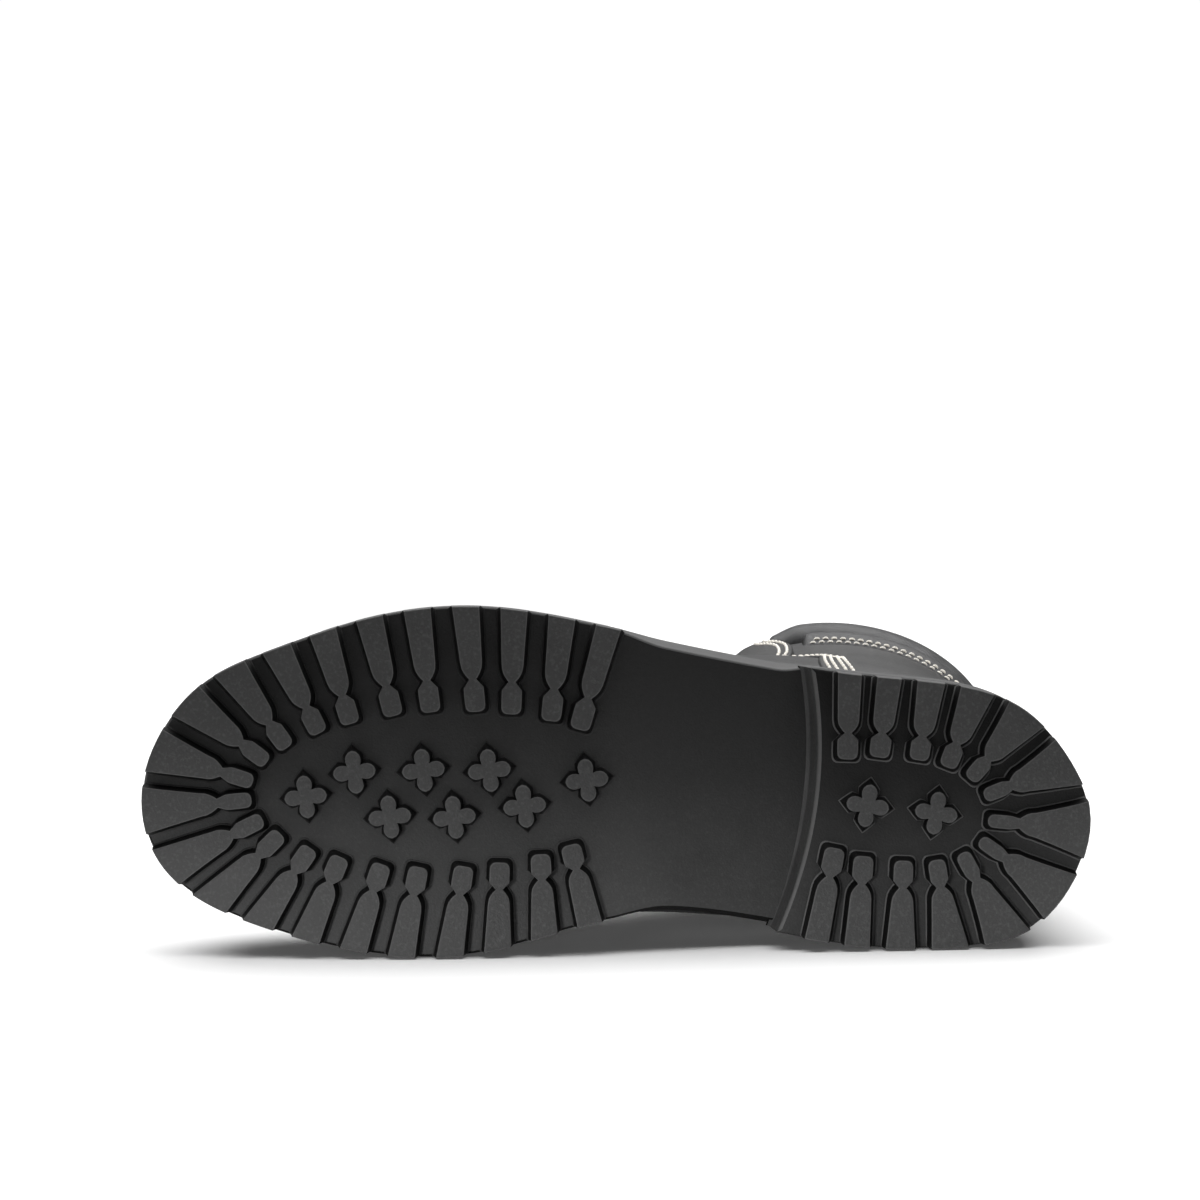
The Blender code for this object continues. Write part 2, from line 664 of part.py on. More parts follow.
def upper_grid():
    """Points of the upper, from the lateral welt over the crown to the medial welt, and the
    mask of its quads: open at the throat, and over the collar seam behind the facings."""
    u = grid_rows(VAMP_ROWS, QUARTER_ROWS, SHAFT_STEPS)
    sides = []
    for lateral in (True, False):
        sign = 1 if lateral else -1
        low = sign * (1 - WIDEST_AT * np.arange(LOW_COLUMNS + 1) / LOW_COLUMNS)
        edge = crown_across(u, throat_half(u), lateral, limit=0.4)
        share = np.arange(1, HIGH_COLUMNS + 1) / HIGH_COLUMNS
        high = low[-1] + (edge[:, None] - low[-1]) * share
        sides.append(np.concatenate((np.broadcast_to(low, (len(u), len(low))), high), axis=1))
    across = np.concatenate((sides[0], np.zeros((len(u), 1)), sides[1][:, ::-1]), axis=1)
    points = surface(u[:, None], across)
    foot = points[:, [0, -1]] - (0.0, 0.0, WELT_THICKNESS)
    points = np.concatenate((foot[:, :1], points, foot[:, 1:]), axis=1)
    columns = points.shape[1]
    middle = columns // 2
    row_u = (u[:-1] + u[1:]) / 2
    column = np.arange(columns - 1)
    crown = (column == middle - 1) | (column == middle)
    facing_span = HIGH_COLUMNS - FACING_COLUMN + 1
    facing = (column >= middle - facing_span) & (column < middle + facing_span)
    keep = np.ones((len(u) - 1, columns - 1), dtype=bool)
    keep &= ~((row_u[:, None] > THROAT_ROW) & crown)
    keep &= ~((row_u[:, None] > COLLAR_ROW) & ~facing)
    keep &= ~((row_u[:, None] > HEEL_ROW) & ((column == 0) | (column == columns - 2)))
    return points, keep


def eyelet_places(lateral):
    """u and across values of a side's eyelets, evenly spaced up the facing."""
    fine = np.linspace(THROAT_ROW, TOP_ROW, 400)
    line = surface(fine, crown_across(fine, throat_half(fine), lateral))
    length = np.concatenate(([0.0], np.cumsum(np.linalg.norm(np.diff(line, axis=0), axis=1))))
    stops = np.linspace(EYELET_FROM_END, length[-1] - EYELET_FROM_END, EYELET_PAIRS)
    u = np.interp(stops, length, fine)
    edge = crown_across(u, throat_half(u), lateral)
    small = 0.01 * edge
    per_across = np.linalg.norm(surface(u, edge + small) - surface(u, edge), axis=-1) / np.abs(small)
    return u, edge + np.sign(edge) * EYELET_FROM_EDGE / per_across


def upright(point, normal):
    """Matrix at a point in mm with Z along a normal."""
    turn = Vector(normal).to_track_quat("Z", "Y").to_matrix().to_4x4()
    return Matrix.Translation(Vector(point) * MM) @ turn


def upper(parts, cutters):
    """Vamp, quarters and shaft: one leather wall, open below, at the throat and on top."""
    points, keep = upper_grid()
    rows, columns = points.shape[:2]
    body = new_object("upper", points, grid_faces(rows, columns, keep), parts, recalculate=False)
    add_modifier(body, "wall", "SOLIDIFY", thickness=WALL * MM, offset=-1.0)
    work = bmesh.new()
    for lateral in (True, False):
        for u, across in zip(*eyelet_places(lateral)):
            bmesh.ops.create_cone(work, cap_ends=True, segments=HOLE_SIDES, radius1=EYELET_HOLE * MM,
                                  radius2=EYELET_HOLE * MM, depth=5 * WALL * MM,
                                  matrix=upright(surface(u, across), outward(u, across)))
    mesh = bpy.data.meshes.new("eyelet_holes")
    work.to_mesh(mesh)
    work.free()
    holes = bpy.data.objects.new("eyelet_holes", mesh)
    cutters.objects.link(holes)
    add_modifier(body, "eyelet holes", "BOOLEAN", operation="DIFFERENCE", object=holes)
    return body


def rounded(value):
    """Sine or cosine made squarer, so that the roll's section is fuller than an ellipse."""
    return np.sign(value) * np.abs(value) ** COLLAR_ROUNDING


def tube_faces(count, around):
    """Faces of a tube of rings of points, closed at both ends."""
    faces = [tuple(face) for face in grid_faces(count, around)]
    ring = np.arange(count) * around
    last = around - 1
    faces += [(a + last, a, b, b + last) for a, b in zip(ring, ring[1:])]
    faces += [tuple(range(around))[::-1], tuple(ring[-1] + i for i in range(around))]
    return faces


def collar(parts):
    """Padded roll on the shaft's top, round the back from facing to facing."""
    rows = np.array([COLLAR_ROW, TOP_ROW], dtype=float)
    ends = []
    for lateral in (True, False):
        edge = crown_across(rows, throat_half(rows), lateral)
        start = np.sign(edge) * (1 - WIDEST_AT)
        ends.append(start + (edge - start) * FACING_COLUMN / HIGH_COLUMNS + np.sign(edge) * COLLAR_CLEAR)
    share = np.linspace(0, 1, 12)[:, None]
    lateral_path = ends[0] + (1.0 - ends[0]) * share
    medial_path = -1.0 + (ends[1] + 1.0) * share
    path = np.concatenate((lateral_path, medial_path[1:]))
    foot = surface(rows[0] + COLLAR_CLEAR, path[:, 0])
    top = surface(rows[1], path[:, 1])
    normal = outward(rows.mean(), path.mean(axis=1))
    seam = len(lateral_path) - 1
    normal[seam] = normal[seam - 1] + normal[seam + 1]
    normal[seam] /= np.linalg.norm(normal[seam])
    from_end = np.minimum(np.arange(len(path)), np.arange(len(path))[::-1])
    fill = COLLAR_END + (1 - COLLAR_END) * smooth_step(from_end / 2)
    angle = np.linspace(0, 2 * np.pi, 12, endpoint=False) + np.pi / 12
    height = 0.5 + 0.5 * rounded(np.cos(angle))
    depth = rounded(np.sin(angle))
    bulge = np.where(depth > 0, COLLAR_OUT, COLLAR_IN) * fill[:, None] + WALL / 2
    middle = foot[:, None] + (top - foot)[:, None] * height[:, None]
    grid = middle + (depth * bulge - WALL / 2)[..., None] * normal[:, None]
    return new_object("collar", grid, tube_faces(*grid.shape[:2]), parts)


def tongue(parts):
    """Padded tongue behind the throat, tucked under the vamp and standing over the top."""
    u = grid_rows(VAMP_ROWS, QUARTER_ROWS, SHAFT_STEPS)
    u = np.append(u[u > THROAT_ROW - TONGUE_TUCK], TONGUE_ROW)
    share = np.linspace(1, -1, 7)
    across = np.stack([crown_across(u, TONGUE_HALF * abs(k), k >= 0) for k in share], axis=1)
    rows = np.broadcast_to(u[:, None], across.shape)
    points = surface(rows, across) - outward(rows, across) * (WALL + 2 * CURVE_GAP)
    count, columns = points.shape[:2]
    body = new_object("tongue", points, grid_faces(count, columns), parts, recalculate=False)
    add_modifier(body, "padding", "SOLIDIFY", thickness=TONGUE_THICKNESS * MM, offset=-1.0)
    return body


def eyelets(parts):
    """Metal rings through the facings: a flange outside and a barrel in the hole."""
    count = len(EYELET_PROFILE)
    points = [(radius * MM, 0, height * MM) for radius, height in EYELET_PROFILE]
    items = []
    for lateral in (True, False):
        side = "lateral" if lateral else "medial"
        for number, (u, across) in enumerate(zip(*eyelet_places(lateral)), 1):
            name = f"eyelet_{side}_{number}"
            mesh = bpy.data.meshes.new(name)
            mesh.from_pydata(points, [(i, (i + 1) % count) for i in range(count)], [])
            item = bpy.data.objects.new(name, mesh)
            parts.objects.link(item)
            item.matrix_world = upright(surface(u, across), outward(u, across))
            add_modifier(item, "turned", "SCREW", steps=EYELET_SIDES, render_steps=EYELET_SIDES,
                         use_merge_vertices=True, merge_threshold=0.00001)
            items.append(item)
    return items


def lace_band(first, lift):
    """Points and faces of one flat lace that crosses from side to side, from one eyelet
    pair's level to the next, starting on the lateral side if first is 1, else if -1. lift
    raises the band that lies on top where the two cross."""
    levels = (eyelet_places(True)[0] + eyelet_places(False)[0]) / 2
    steps = 4
    place = np.arange((EYELET_PAIRS - 1) * steps + 1) / steps
    u = np.interp(place, np.arange(EYELET_PAIRS), levels)
    swing = first * (1 - 2 * np.abs((place + 1) % 2 - 1))
    side = swing * (throat_half(u) + LACE_OVERLAP)
    across = crown_across(u, np.abs(side), side >= 0)
    centre = surface(u, across)
    normal = outward(u, across)
    beside = np.cross(normal, np.gradient(centre, axis=0))
    beside /= np.linalg.norm(beside, axis=1, keepdims=True)
    half = LACE_WIDTH / 2
    low = LACE_CLEAR + lift
    high = low + LACE_THICKNESS
    corners = ((-half, low), (half, low), (half, high), (-half, high))
    grid = np.stack([centre + beside * width + normal * height for width, height in corners], axis=1)
    return grid.reshape(-1, 3), tube_faces(len(u), len(corners))


def lace(parts, cutters):
    """Lace crossings over the throat: two zigzag bands joined where they cross."""
    body = new_object("lace", *lace_band(1, 0.0), parts)
    other = new_object("lace_over", *lace_band(-1, LACE_LIFT), cutters)
    add_modifier(body, "crossings", "BOOLEAN", operation="UNION", object=other)
    return body


# ---------------------------------------------------------------- assembly

def evaluated_points(item):
    """World points of an object as its modifiers leave it, in mm."""
    done = item.evaluated_get(bpy.context.evaluated_depsgraph_get())
    points = np.array([done.matrix_world @ v.co for v in done.data.vertices])
    return points / MM


SOLE_BELOW = 60.0         # heights that part the sole's points from the collar's
COLLAR_ABOVE = 150.0


def rest_matrix(touching, everything):
    """Matrix that lays the standing boot on its medial side. The floor's plane touches it
    at three places, found by turns: under the ball, under the heel and under the collar."""
    points = np.concatenate([evaluated_points(item) for item in touching])
    station, height = points[:, 0], points[:, 2]
    on_sole = height < SOLE_BELOW
    ball = points[on_sole & (station > ARCH_END)]
    heel = points[on_sole & (station < BREAST)]
    top = points[height > COLLAR_ABOVE]
    slope = np.zeros(3)
    for _ in range(6):
        picked = [group[np.argmin(group[:, 1] - group[:, 0] * slope[1] - group[:, 2] * slope[2])]
                  for group in (ball, heel, top)]
        slope = np.linalg.solve([(1, p[0], p[2]) for p in picked], [p[1] for p in picked])
    up = Vector((-slope[1], 1.0, -slope[2])).normalized()
    heelward = Vector((-1.0, 0.0, 0.0))
    x_axis = (heelward - up * heelward.dot(up)).normalized()
    y_axis = up.cross(x_axis)
    turn = Matrix((x_axis, y_axis, up)).to_4x4()
    cloud = np.concatenate([evaluated_points(item) for item in everything])
    laid = cloud @ np.array(turn.to_3x3()).T
    low, high = laid.min(axis=0), laid.max(axis=0)
    shift = -Vector(((low[0] + high[0]) / 2, (low[1] + high[1]) / 2, low[2])) * MM
    return Matrix.Translation(shift) @ turn


def build():
    """Make every piece standing, then lay the boot down."""
    clear_scene()
    parts = new_collection(NAME)
    cutters = new_collection(NAME + "_forms")
    rubber = material("black moulded rubber", (0.02, 0.02, 0.02), 0.75)
    leather = material("black oiled leather", (0.03, 0.03, 0.03), 0.5)
    padded = material("black soft leather", (0.04, 0.04, 0.04), 0.45)
    cloth = material("black woven cord", (0.02, 0.02, 0.02), 0.9)
    board = material("grey insole felt", (0.12, 0.12, 0.12), 0.95)
    metal = material("black enamelled brass", (0.03, 0.03, 0.03), 0.35, 1.0)
    pieces = {
        "outsole": (outsole(parts, cutters), rubber),
        "welt": (welt(parts), rubber),
        "insole": (insole(parts), board),
        "upper": (upper(parts, cutters), leather),
        "collar": (collar(parts), padded),
        "tongue": (tongue(parts), padded),
        "lace": (lace(parts, cutters), cloth),
    }
    items = [item for item, _ in pieces.values()]
    for item, look in pieces.values():
        item.data.materials.append(look)
    for item in eyelets(parts):
        item.data.materials.append(metal)
        items.append(item)
    for item in cutters.objects:
        item.hide_render = True
        item.display_type = "WIRE"
    bpy.context.view_layer.update()
    frame = bpy.data.objects.new("boot_frame", None)
    parts.objects.link(frame)
    touching = [pieces["outsole"][0], pieces["collar"][0], pieces["welt"][0]]
    frame_matrix = rest_matrix(touching, items)
    for item in items + list(cutters.objects):
        item.parent = frame
    frame.matrix_world = frame_matrix
    bpy.context.view_layer.update()


build()
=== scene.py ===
"""Black leather logger boot for the left foot, lying on its medial side with its sole to
the front. Sizes are in mm in the boot's own frame: station along the sole from the back of
the heel, side (lateral is +) and height from the ground. laid() puts them where it lies.
"""

import math

import bmesh
import bpy
import numpy as np
from mathutils import Matrix


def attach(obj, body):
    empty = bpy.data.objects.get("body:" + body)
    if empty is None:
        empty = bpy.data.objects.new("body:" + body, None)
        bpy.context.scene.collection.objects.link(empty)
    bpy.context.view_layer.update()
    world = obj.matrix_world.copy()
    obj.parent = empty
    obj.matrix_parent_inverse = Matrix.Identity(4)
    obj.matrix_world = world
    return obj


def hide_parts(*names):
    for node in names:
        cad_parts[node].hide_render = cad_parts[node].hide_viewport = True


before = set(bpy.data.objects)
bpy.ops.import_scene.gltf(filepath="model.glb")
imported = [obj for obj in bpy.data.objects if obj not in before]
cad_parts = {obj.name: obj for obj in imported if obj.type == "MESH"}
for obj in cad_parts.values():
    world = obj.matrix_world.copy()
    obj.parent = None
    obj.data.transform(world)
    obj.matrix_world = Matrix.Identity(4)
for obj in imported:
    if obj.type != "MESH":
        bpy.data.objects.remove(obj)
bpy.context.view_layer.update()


# ================================================================ outsole
# Lugged unit sole of black nitrile rubber: slab, heel block, two rings of lugs and ten cross
# studs, pressed together in one steel mould and cemented under the welt.

MM = 0.001
# The standing boot's axes where it lies, in columns, and its origin there, in metres.
LIES = np.array(((-0.999855, 0.016995, -0.000439), (0.0, 0.025849, 0.999666),
                 (0.017, 0.999521, -0.025845)))
LIES_AT = np.array((0.153573, -0.112728, 0.045168))
SOLE_LENGTH = 307.0
LUG_HEIGHT = 5.0
STUD_HEIGHT = 4.5
TOE_SPRING = 18.0
FLAT_END = 195.0          # where the tread starts to curve up to the toe
TOE_CURVE = 1.7           # above 1, that curve starts gently
ARCH_RISE = 11.5
ARCH_END = 156.0
BREAST = 87.4             # the heel's front edge, where it reaches furthest back
BREAST_CENTRE = 20.0
BREAST_BOW = 0.0036
WAIST_BEVEL = 1.6

# Edges of the tread at stations spaced as the cosines of equal angles, heel back to toe tip.
LATERAL_EDGE = (-4.0, 12.9, 30.9, 39.4, 42.8, 48.9, 57.5, 64.4, 61.4, 51.1, 39.6, 21.2, 1.2)
MEDIAL_EDGE = (-4.0, -22.9, -39.6, -44.6, -43.8, -37.2, -35.2, -45.4, -46.7, -40.0, -30.8,
               -17.4, 1.2)
# Top face of the outsole seen from the side. Columns: station, height.
SEAT = ((0.0, 34.0), (45.0, 32.0), (90.0, 26.5), (130.0, 18.8), (165.0, 12.4), (195.0, 11.1),
        (225.0, 12.6), (265.0, 19.0), (307.0, 29.2))


def laid(points):
    """Points of the standing boot, in mm, turned and moved to where they lie, in metres."""
    return np.asarray(points) * MM @ LIES.T + LIES_AT


def closed_curve(values, t):
    """Cubic B-spline through evenly spaced values of a closed curve, at t from 0 to 1."""
    count = len(values)
    shift = np.eye(count)
    matrix = (4 * shift + np.roll(shift, 1, axis=1) + np.roll(shift, -1, axis=1)) / 6
    control = np.linalg.solve(matrix, values)
    place = np.asarray(t) * count
    i = np.floor(place).astype(int)
    f = place - i
    weights = ((1 - f) ** 3, 3 * f ** 3 - 6 * f ** 2 + 4, -3 * f ** 3 + 3 * f ** 2 + 3 * f + 1,
               f ** 3)
    return sum(w * control[(i + k - 1) % count] for k, w in enumerate(weights)) / 6


def through_rows(xs, ys, x):
    """Smooth curve through the rows of a table that never swings past them: a cubic whose
    slope at a row is the weighted harmonic mean of the slopes beside it."""
    xs, ys, x = (np.asarray(values, dtype=float) for values in (xs, ys, x))
    step = np.diff(xs)
    slope = np.diff(ys) / step
    before, after = slope[:-1], slope[1:]
    same = before * after > 0
    safe_before = np.where(same, before, 1.0)
    safe_after = np.where(same, after, 1.0)
    weight_before = 2 * step[1:] + step[:-1]
    weight_after = step[1:] + 2 * step[:-1]
    mean = (weight_before + weight_after) / (weight_before / safe_before
                                             + weight_after / safe_after)
    tangent = np.concatenate(([slope[0]], np.where(same, mean, 0.0), [slope[-1]]))
    i = np.clip(np.searchsorted(xs, x, side="right") - 1, 0, len(step) - 1)
    t = (x - xs[i]) / step[i]
    return (ys[i] * (1 + 2 * t) * (1 - t) ** 2 + ys[i + 1] * t * t * (3 - 2 * t)
            + step[i] * (tangent[i] * t * (1 - t) ** 2 - tangent[i + 1] * t * t * (1 - t)))


def smooth_step(t):
    """0 below 0, 1 above 1, and an S between."""
    t = np.clip(t, 0.0, 1.0)
    return t * t * (3 - 2 * t)


def signed_power(value, power):
    """Power of a value's size, with its sign kept: a power below 1 makes an ellipse squarer."""
    return np.sign(value) * np.abs(value) ** power


def unit(vectors):
    """Vectors of length 1 in the same directions."""
    return vectors / np.maximum(np.linalg.norm(vectors, axis=-1, keepdims=True), 1e-12)


def lengths_from(points, axis=0):
    """Length along a line of points, or along a grid's lines from its first row (axis 0) or
    column (axis 1)."""
    steps = np.linalg.norm(np.diff(points, axis=axis), axis=-1)
    start = np.zeros_like(steps[:1] if axis == 0 else steps[:, :1])
    return np.concatenate((start, np.cumsum(steps, axis=axis)), axis=axis)


def outline(t, inset=0.0):
    """Point of the tread's edge at t (0 heel back, 0.5 toe tip, lateral side first), moved
    inwards along the edge's own normal."""
    t = np.asarray(t, dtype=float)
    sides = LATERAL_EDGE + MEDIAL_EDGE[-2:0:-1]

    def edge(at):
        return np.stack((SOLE_LENGTH / 2 * (1 - np.cos(2 * np.pi * at)),
                         closed_curve(sides, at)), -1)

    small = 1e-4
    along = unit(edge(t + small) - edge(t - small))
    inward = np.stack((along[..., 1], -along[..., 0]), -1)
    return edge(t) + inward * np.asarray(inset)[..., None]


def tread_z(s):
    """Ground side of the lugs: flat at heel and ball, curving up to the toe."""
    past = np.maximum(np.asarray(s, dtype=float) - FLAT_END, 0)
    return TOE_SPRING * (past / (SOLE_LENGTH - FLAT_END)) ** TOE_CURVE


def bare_z(s):
    """Bare underside of the sole between the lugs, rising over the arch."""
    rise = ARCH_RISE * smooth_step((ARCH_END - np.asarray(s)) / (ARCH_END - BREAST))
    return tread_z(s) + LUG_HEIGHT + rise


def seat_z(s):
    """Top face of the outsole."""
    return through_rows([row[0] for row in SEAT], [row[1] for row in SEAT], s)


FINE = np.linspace(0.0, 1.0, 1441)
HALF = len(FINE) // 2
ARC = lengths_from(outline(FINE))


def on_outline(arc, inset):
    """Point of the outline at a length along it from the heel back, set in."""
    return outline(np.interp(arc % ARC[-1], ARC, FINE), inset)


def grid_quads(rows, columns, start=0):
    """Quads of a grid of points that are numbered row by row."""
    index = start + np.arange(rows * columns).reshape(rows, columns)
    quads = np.stack((index[:-1, :-1], index[1:, :-1], index[1:, 1:], index[:-1, 1:]), -1)
    return quads.reshape(-1, 4)


def border(grid):
    """Points round the border of a grid, in order."""
    return np.concatenate((grid[0], grid[1:, -1], grid[-1, -2::-1], grid[-2:0:-1, 0]))


def moulded_block(face, rings):
    """Closed body with a grid of points for its face, whose border is the first ring of its
    walls. The other rings follow with as many points each, and a polygon closes the last."""
    rows, columns = face.shape[:2]
    first = border(np.arange(rows * columns).reshape(rows, columns))
    count = len(first)
    later = rows * columns + np.arange(len(rings) * count).reshape(len(rings), count)
    walls = np.concatenate((first[None], later))
    turned = np.roll(walls, -1, axis=1)
    quads = np.stack((walls[:-1], walls[1:], turned[1:], turned[:-1]), -1).reshape(-1, 4)
    points = np.concatenate([face.reshape(-1, 3), *rings])
    return points, np.concatenate((grid_quads(rows, columns), quads)), [tuple(walls[-1])]


def swept(rings, closed=False):
    """Body swept from rings of points. Each ring repeats its first point at its end, and a
    closed sweep repeats its first ring; an open one is capped at both ends."""
    rows, columns = rings.shape[:2]
    index = np.arange(rows * columns).reshape(rows, columns)
    caps = [] if closed else [tuple(index[0, :-1]), tuple(index[-1, :-1])]
    return rings.reshape(-1, 3), grid_quads(rows, columns), caps


WELD, SPECK = 2e-6, 1e-6   # points nearer than this are joined, faces smaller are dropped
SHARP_ANGLE = math.radians(50)


def make_piece(name, bodies, looks, patterns=None, sheet=False):
    """Mesh object of bodies of points in mm, quads, caps and, where a body has several looks,
    the number of each face's look. Its points are welded and its faces turned outwards, but
    for an open sheet's. patterns hold a UV place for each point."""
    points, faces, numbers, start = [], [], [], 0
    for body_points, quads, caps, *kinds in bodies:
        points.append(body_points)
        numbers += list(kinds[0]) if kinds else [0] * (len(quads) + len(caps))
        faces += (quads + start).tolist() + [[int(i) + start for i in cap] for cap in caps]
        start += len(body_points)
    mesh = bpy.data.meshes.new(name)
    mesh.from_pydata(laid(np.concatenate(points)).tolist(), [], faces)
    mesh.polygons.foreach_set("material_index", np.array(numbers, np.int32))
    if patterns is not None:
        places = np.concatenate([pattern.reshape(-1, 2) for pattern in patterns])
        corners = np.zeros(len(mesh.loops), np.int32)
        mesh.loops.foreach_get("vertex_index", corners)
        mesh.uv_layers.new(name="pattern").data.foreach_set("uv", places[corners].ravel())
    work = bmesh.new()
    work.from_mesh(mesh)
    bmesh.ops.remove_doubles(work, verts=work.verts, dist=WELD)
    bmesh.ops.dissolve_degenerate(work, edges=work.edges, dist=SPECK)
    if not sheet:
        bmesh.ops.recalc_face_normals(work, faces=work.faces)
    work.to_mesh(mesh)
    work.free()
    mesh.shade_smooth()
    mesh.set_sharp_from_angle(angle=SHARP_ANGLE)
    item = bpy.data.objects.new(name, mesh)
    bpy.context.scene.collection.objects.link(item)
    for look in looks:
        mesh.materials.append(look)
    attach(item, "root")
    return item


def peaked(count, first, step, extra, peak, spread):
    """Places that step evenly, with extra steps that peak at one of them."""
    between = np.arange(count - 1) + 0.5
    steps = step + extra * np.exp(-((between - peak) / spread) ** 2)
    return first + np.concatenate(([0.0], np.cumsum(steps)))


# The two rings of lugs. Their outer ends step along the outline from its heel back. Their
# inner tips step round a superellipse, in degrees. Grooves lie between the outer ends.
LUG_RINGS = {
    "forefoot": {
        "count": 22, "first arc": 179.7, "arc step": 15.6, "extra arc": 5.0,
        "peak lug": 10.7, "arc spread": 2.6, "groove": 6.8, "extra groove": -1.8,
        "centre": (207.3, 6.4), "half length front": 64.0, "half length back": 61.0,
        "half width": 25.1, "tilt": 0.03, "squareness": 1.0, "first angle": 134.7,
        "angle step": -12.2, "extra angle": -2.0, "angle spread": 2.7, "pair lean": 0.6,
    },
    "heel": {
        "count": 13, "first arc": 100.5, "arc step": -12.5, "extra arc": -12.0,
        "peak lug": 6.2, "arc spread": 2.9, "groove": 5.0, "extra groove": 0.6,
        "centre": (61.4, -0.2), "half length front": 33.6, "half length back": 28.8,
        "half width": 16.5, "tilt": -0.07, "squareness": 0.865, "first angle": 63.4,
        "angle step": 17.3, "extra angle": 5.1, "angle spread": 3.8, "pair lean": 0.0,
    },
}


def lug_ring(ring):
    """For each lug of a ring: where its outer end starts and stops along the outline, and
    its inner tip."""
    count = ring["count"]
    arcs = peaked(count, ring["first arc"], ring["arc step"], ring["extra arc"],
                  ring["peak lug"], ring["arc spread"])
    angles = peaked(count, ring["first angle"], ring["angle step"], ring["extra angle"],
                    (count - 1) / 2, ring["angle spread"])
    lean = np.where(np.arange(count) % 2 == 0, ring["pair lean"], -ring["pair lean"])
    arcs = arcs + lean / 2
    angles = np.radians(angles - lean)
    steps = np.abs(np.diff(arcs))
    near_peak = np.exp(-((np.arange(count) - ring["peak lug"]) / ring["arc spread"]) ** 2)
    groove = ring["groove"] + ring["extra groove"] * near_peak
    before = (np.concatenate((steps[:1], steps)) - groove) / 2
    after = (np.concatenate((steps, steps[-1:])) - groove) / 2
    way = np.sign(ring["arc step"])
    spans = np.stack((arcs - way * before, arcs + way * after), -1)
    cosine, sine = np.cos(angles), np.sin(angles)
    length = np.where(cosine > 0, ring["half length front"], ring["half length back"])
    station = ring["centre"][0] + length * signed_power(cosine, ring["squareness"])
    side = (ring["centre"][1] - ring["tilt"] * (station - ring["centre"][0])
            + ring["half width"] * signed_power(sine, ring["squareness"]))
    return spans, np.stack((station, side), -1)


# Levels of a lug from its face to inside the slab. Columns: wider by, outer end set in,
# share of the way from tread to slab, more height.
LUG_LEVELS = (
    (-0.35, -0.40, 0.0, 0.0),     # flat of the face
    (-0.10, -0.66, 0.0, 0.06),
    (0.00, -0.76, 0.0, 0.26),     # foot of the rounded edge
    (0.90, -0.90, 1.0, -0.95),
    (1.05, -0.95, 1.0, -0.42),    # foot of the drafted wall
    (1.40, -0.95, 1.0, -0.34),    # thin lip where the mould's inserts meet
    (1.50, -0.95, 1.0, -0.18),
    (1.50, -0.95, 1.0, 2.7),      # top of the outer end, up the side of the slab
    (1.10, -0.20, 1.0, 3.2),
)
SLAB_PROUD = 0.8          # the slab stands out so far from the outline where there are lugs
FACE, RIM, PAINTED_SHADE, SIDE, LIP, BARE, HEEL_BARE = range(7)     # the looks of the rubber
LUG_LOOKS = (RIM, RIM, PAINTED_SHADE, PAINTED_SHADE, LIP, LIP, PAINTED_SHADE, PAINTED_SHADE)   # between those levels
LUG_COLUMNS = np.array((-1.0, -0.84, -0.4, 0.0, 0.4, 0.84, 1.0))
USUAL_HALF = 4.8
# Half width at the shoulder, the neck and the bulb. Columns: on a lug of the usual outer
# half width, change with each mm over it.
LUG_HALVES = ((3.6, 0.1), (1.2, 0.1), (3.15, -0.22))
TAPER = np.array((0.025, 0.15, 0.35, 0.53))    # shares of a lug's length, to its shoulder
NECK = 0.69
TO_NECK = np.array((0.35, 0.6, 0.8, 0.93, 1.0))  # shares of the way from shoulder to neck
OVER_BULB = (0.73, 0.768, 0.80, 0.88)            # shares of the length
BULB_SWELL = 0.06
TIP_ROUND = 2.0
TIP_TURN = np.radians((0, 22, 45, 68, 90))
END_GROW = 0.3            # the outer end's wall is no wider than this over its face


def lug_halves(half, length):
    """Shares along a lug and its half width there: an even taper to the shoulder, a curve in
    to the neck, a straight chamfer out to the bulb, and quarter circles at the tip."""
    shoulder, neck, bulb = (usual + change * (half - USUAL_HALF) for usual, change in LUG_HALVES)
    shares = np.concatenate((TAPER, TAPER[-1] + (NECK - TAPER[-1]) * TO_NECK, OVER_BULB,
                             1 - TIP_ROUND / length * (1 - np.sin(TIP_TURN))))
    halves = np.concatenate((half + (shoulder - half) * TAPER / TAPER[-1],
                             neck + (shoulder - neck) * (1 - TO_NECK ** 2),
                             ((neck + bulb) / 2, bulb, bulb + BULB_SWELL, bulb + BULB_SWELL),
                             bulb - TIP_ROUND * (1 - np.cos(TIP_TURN))))
    return shares, halves


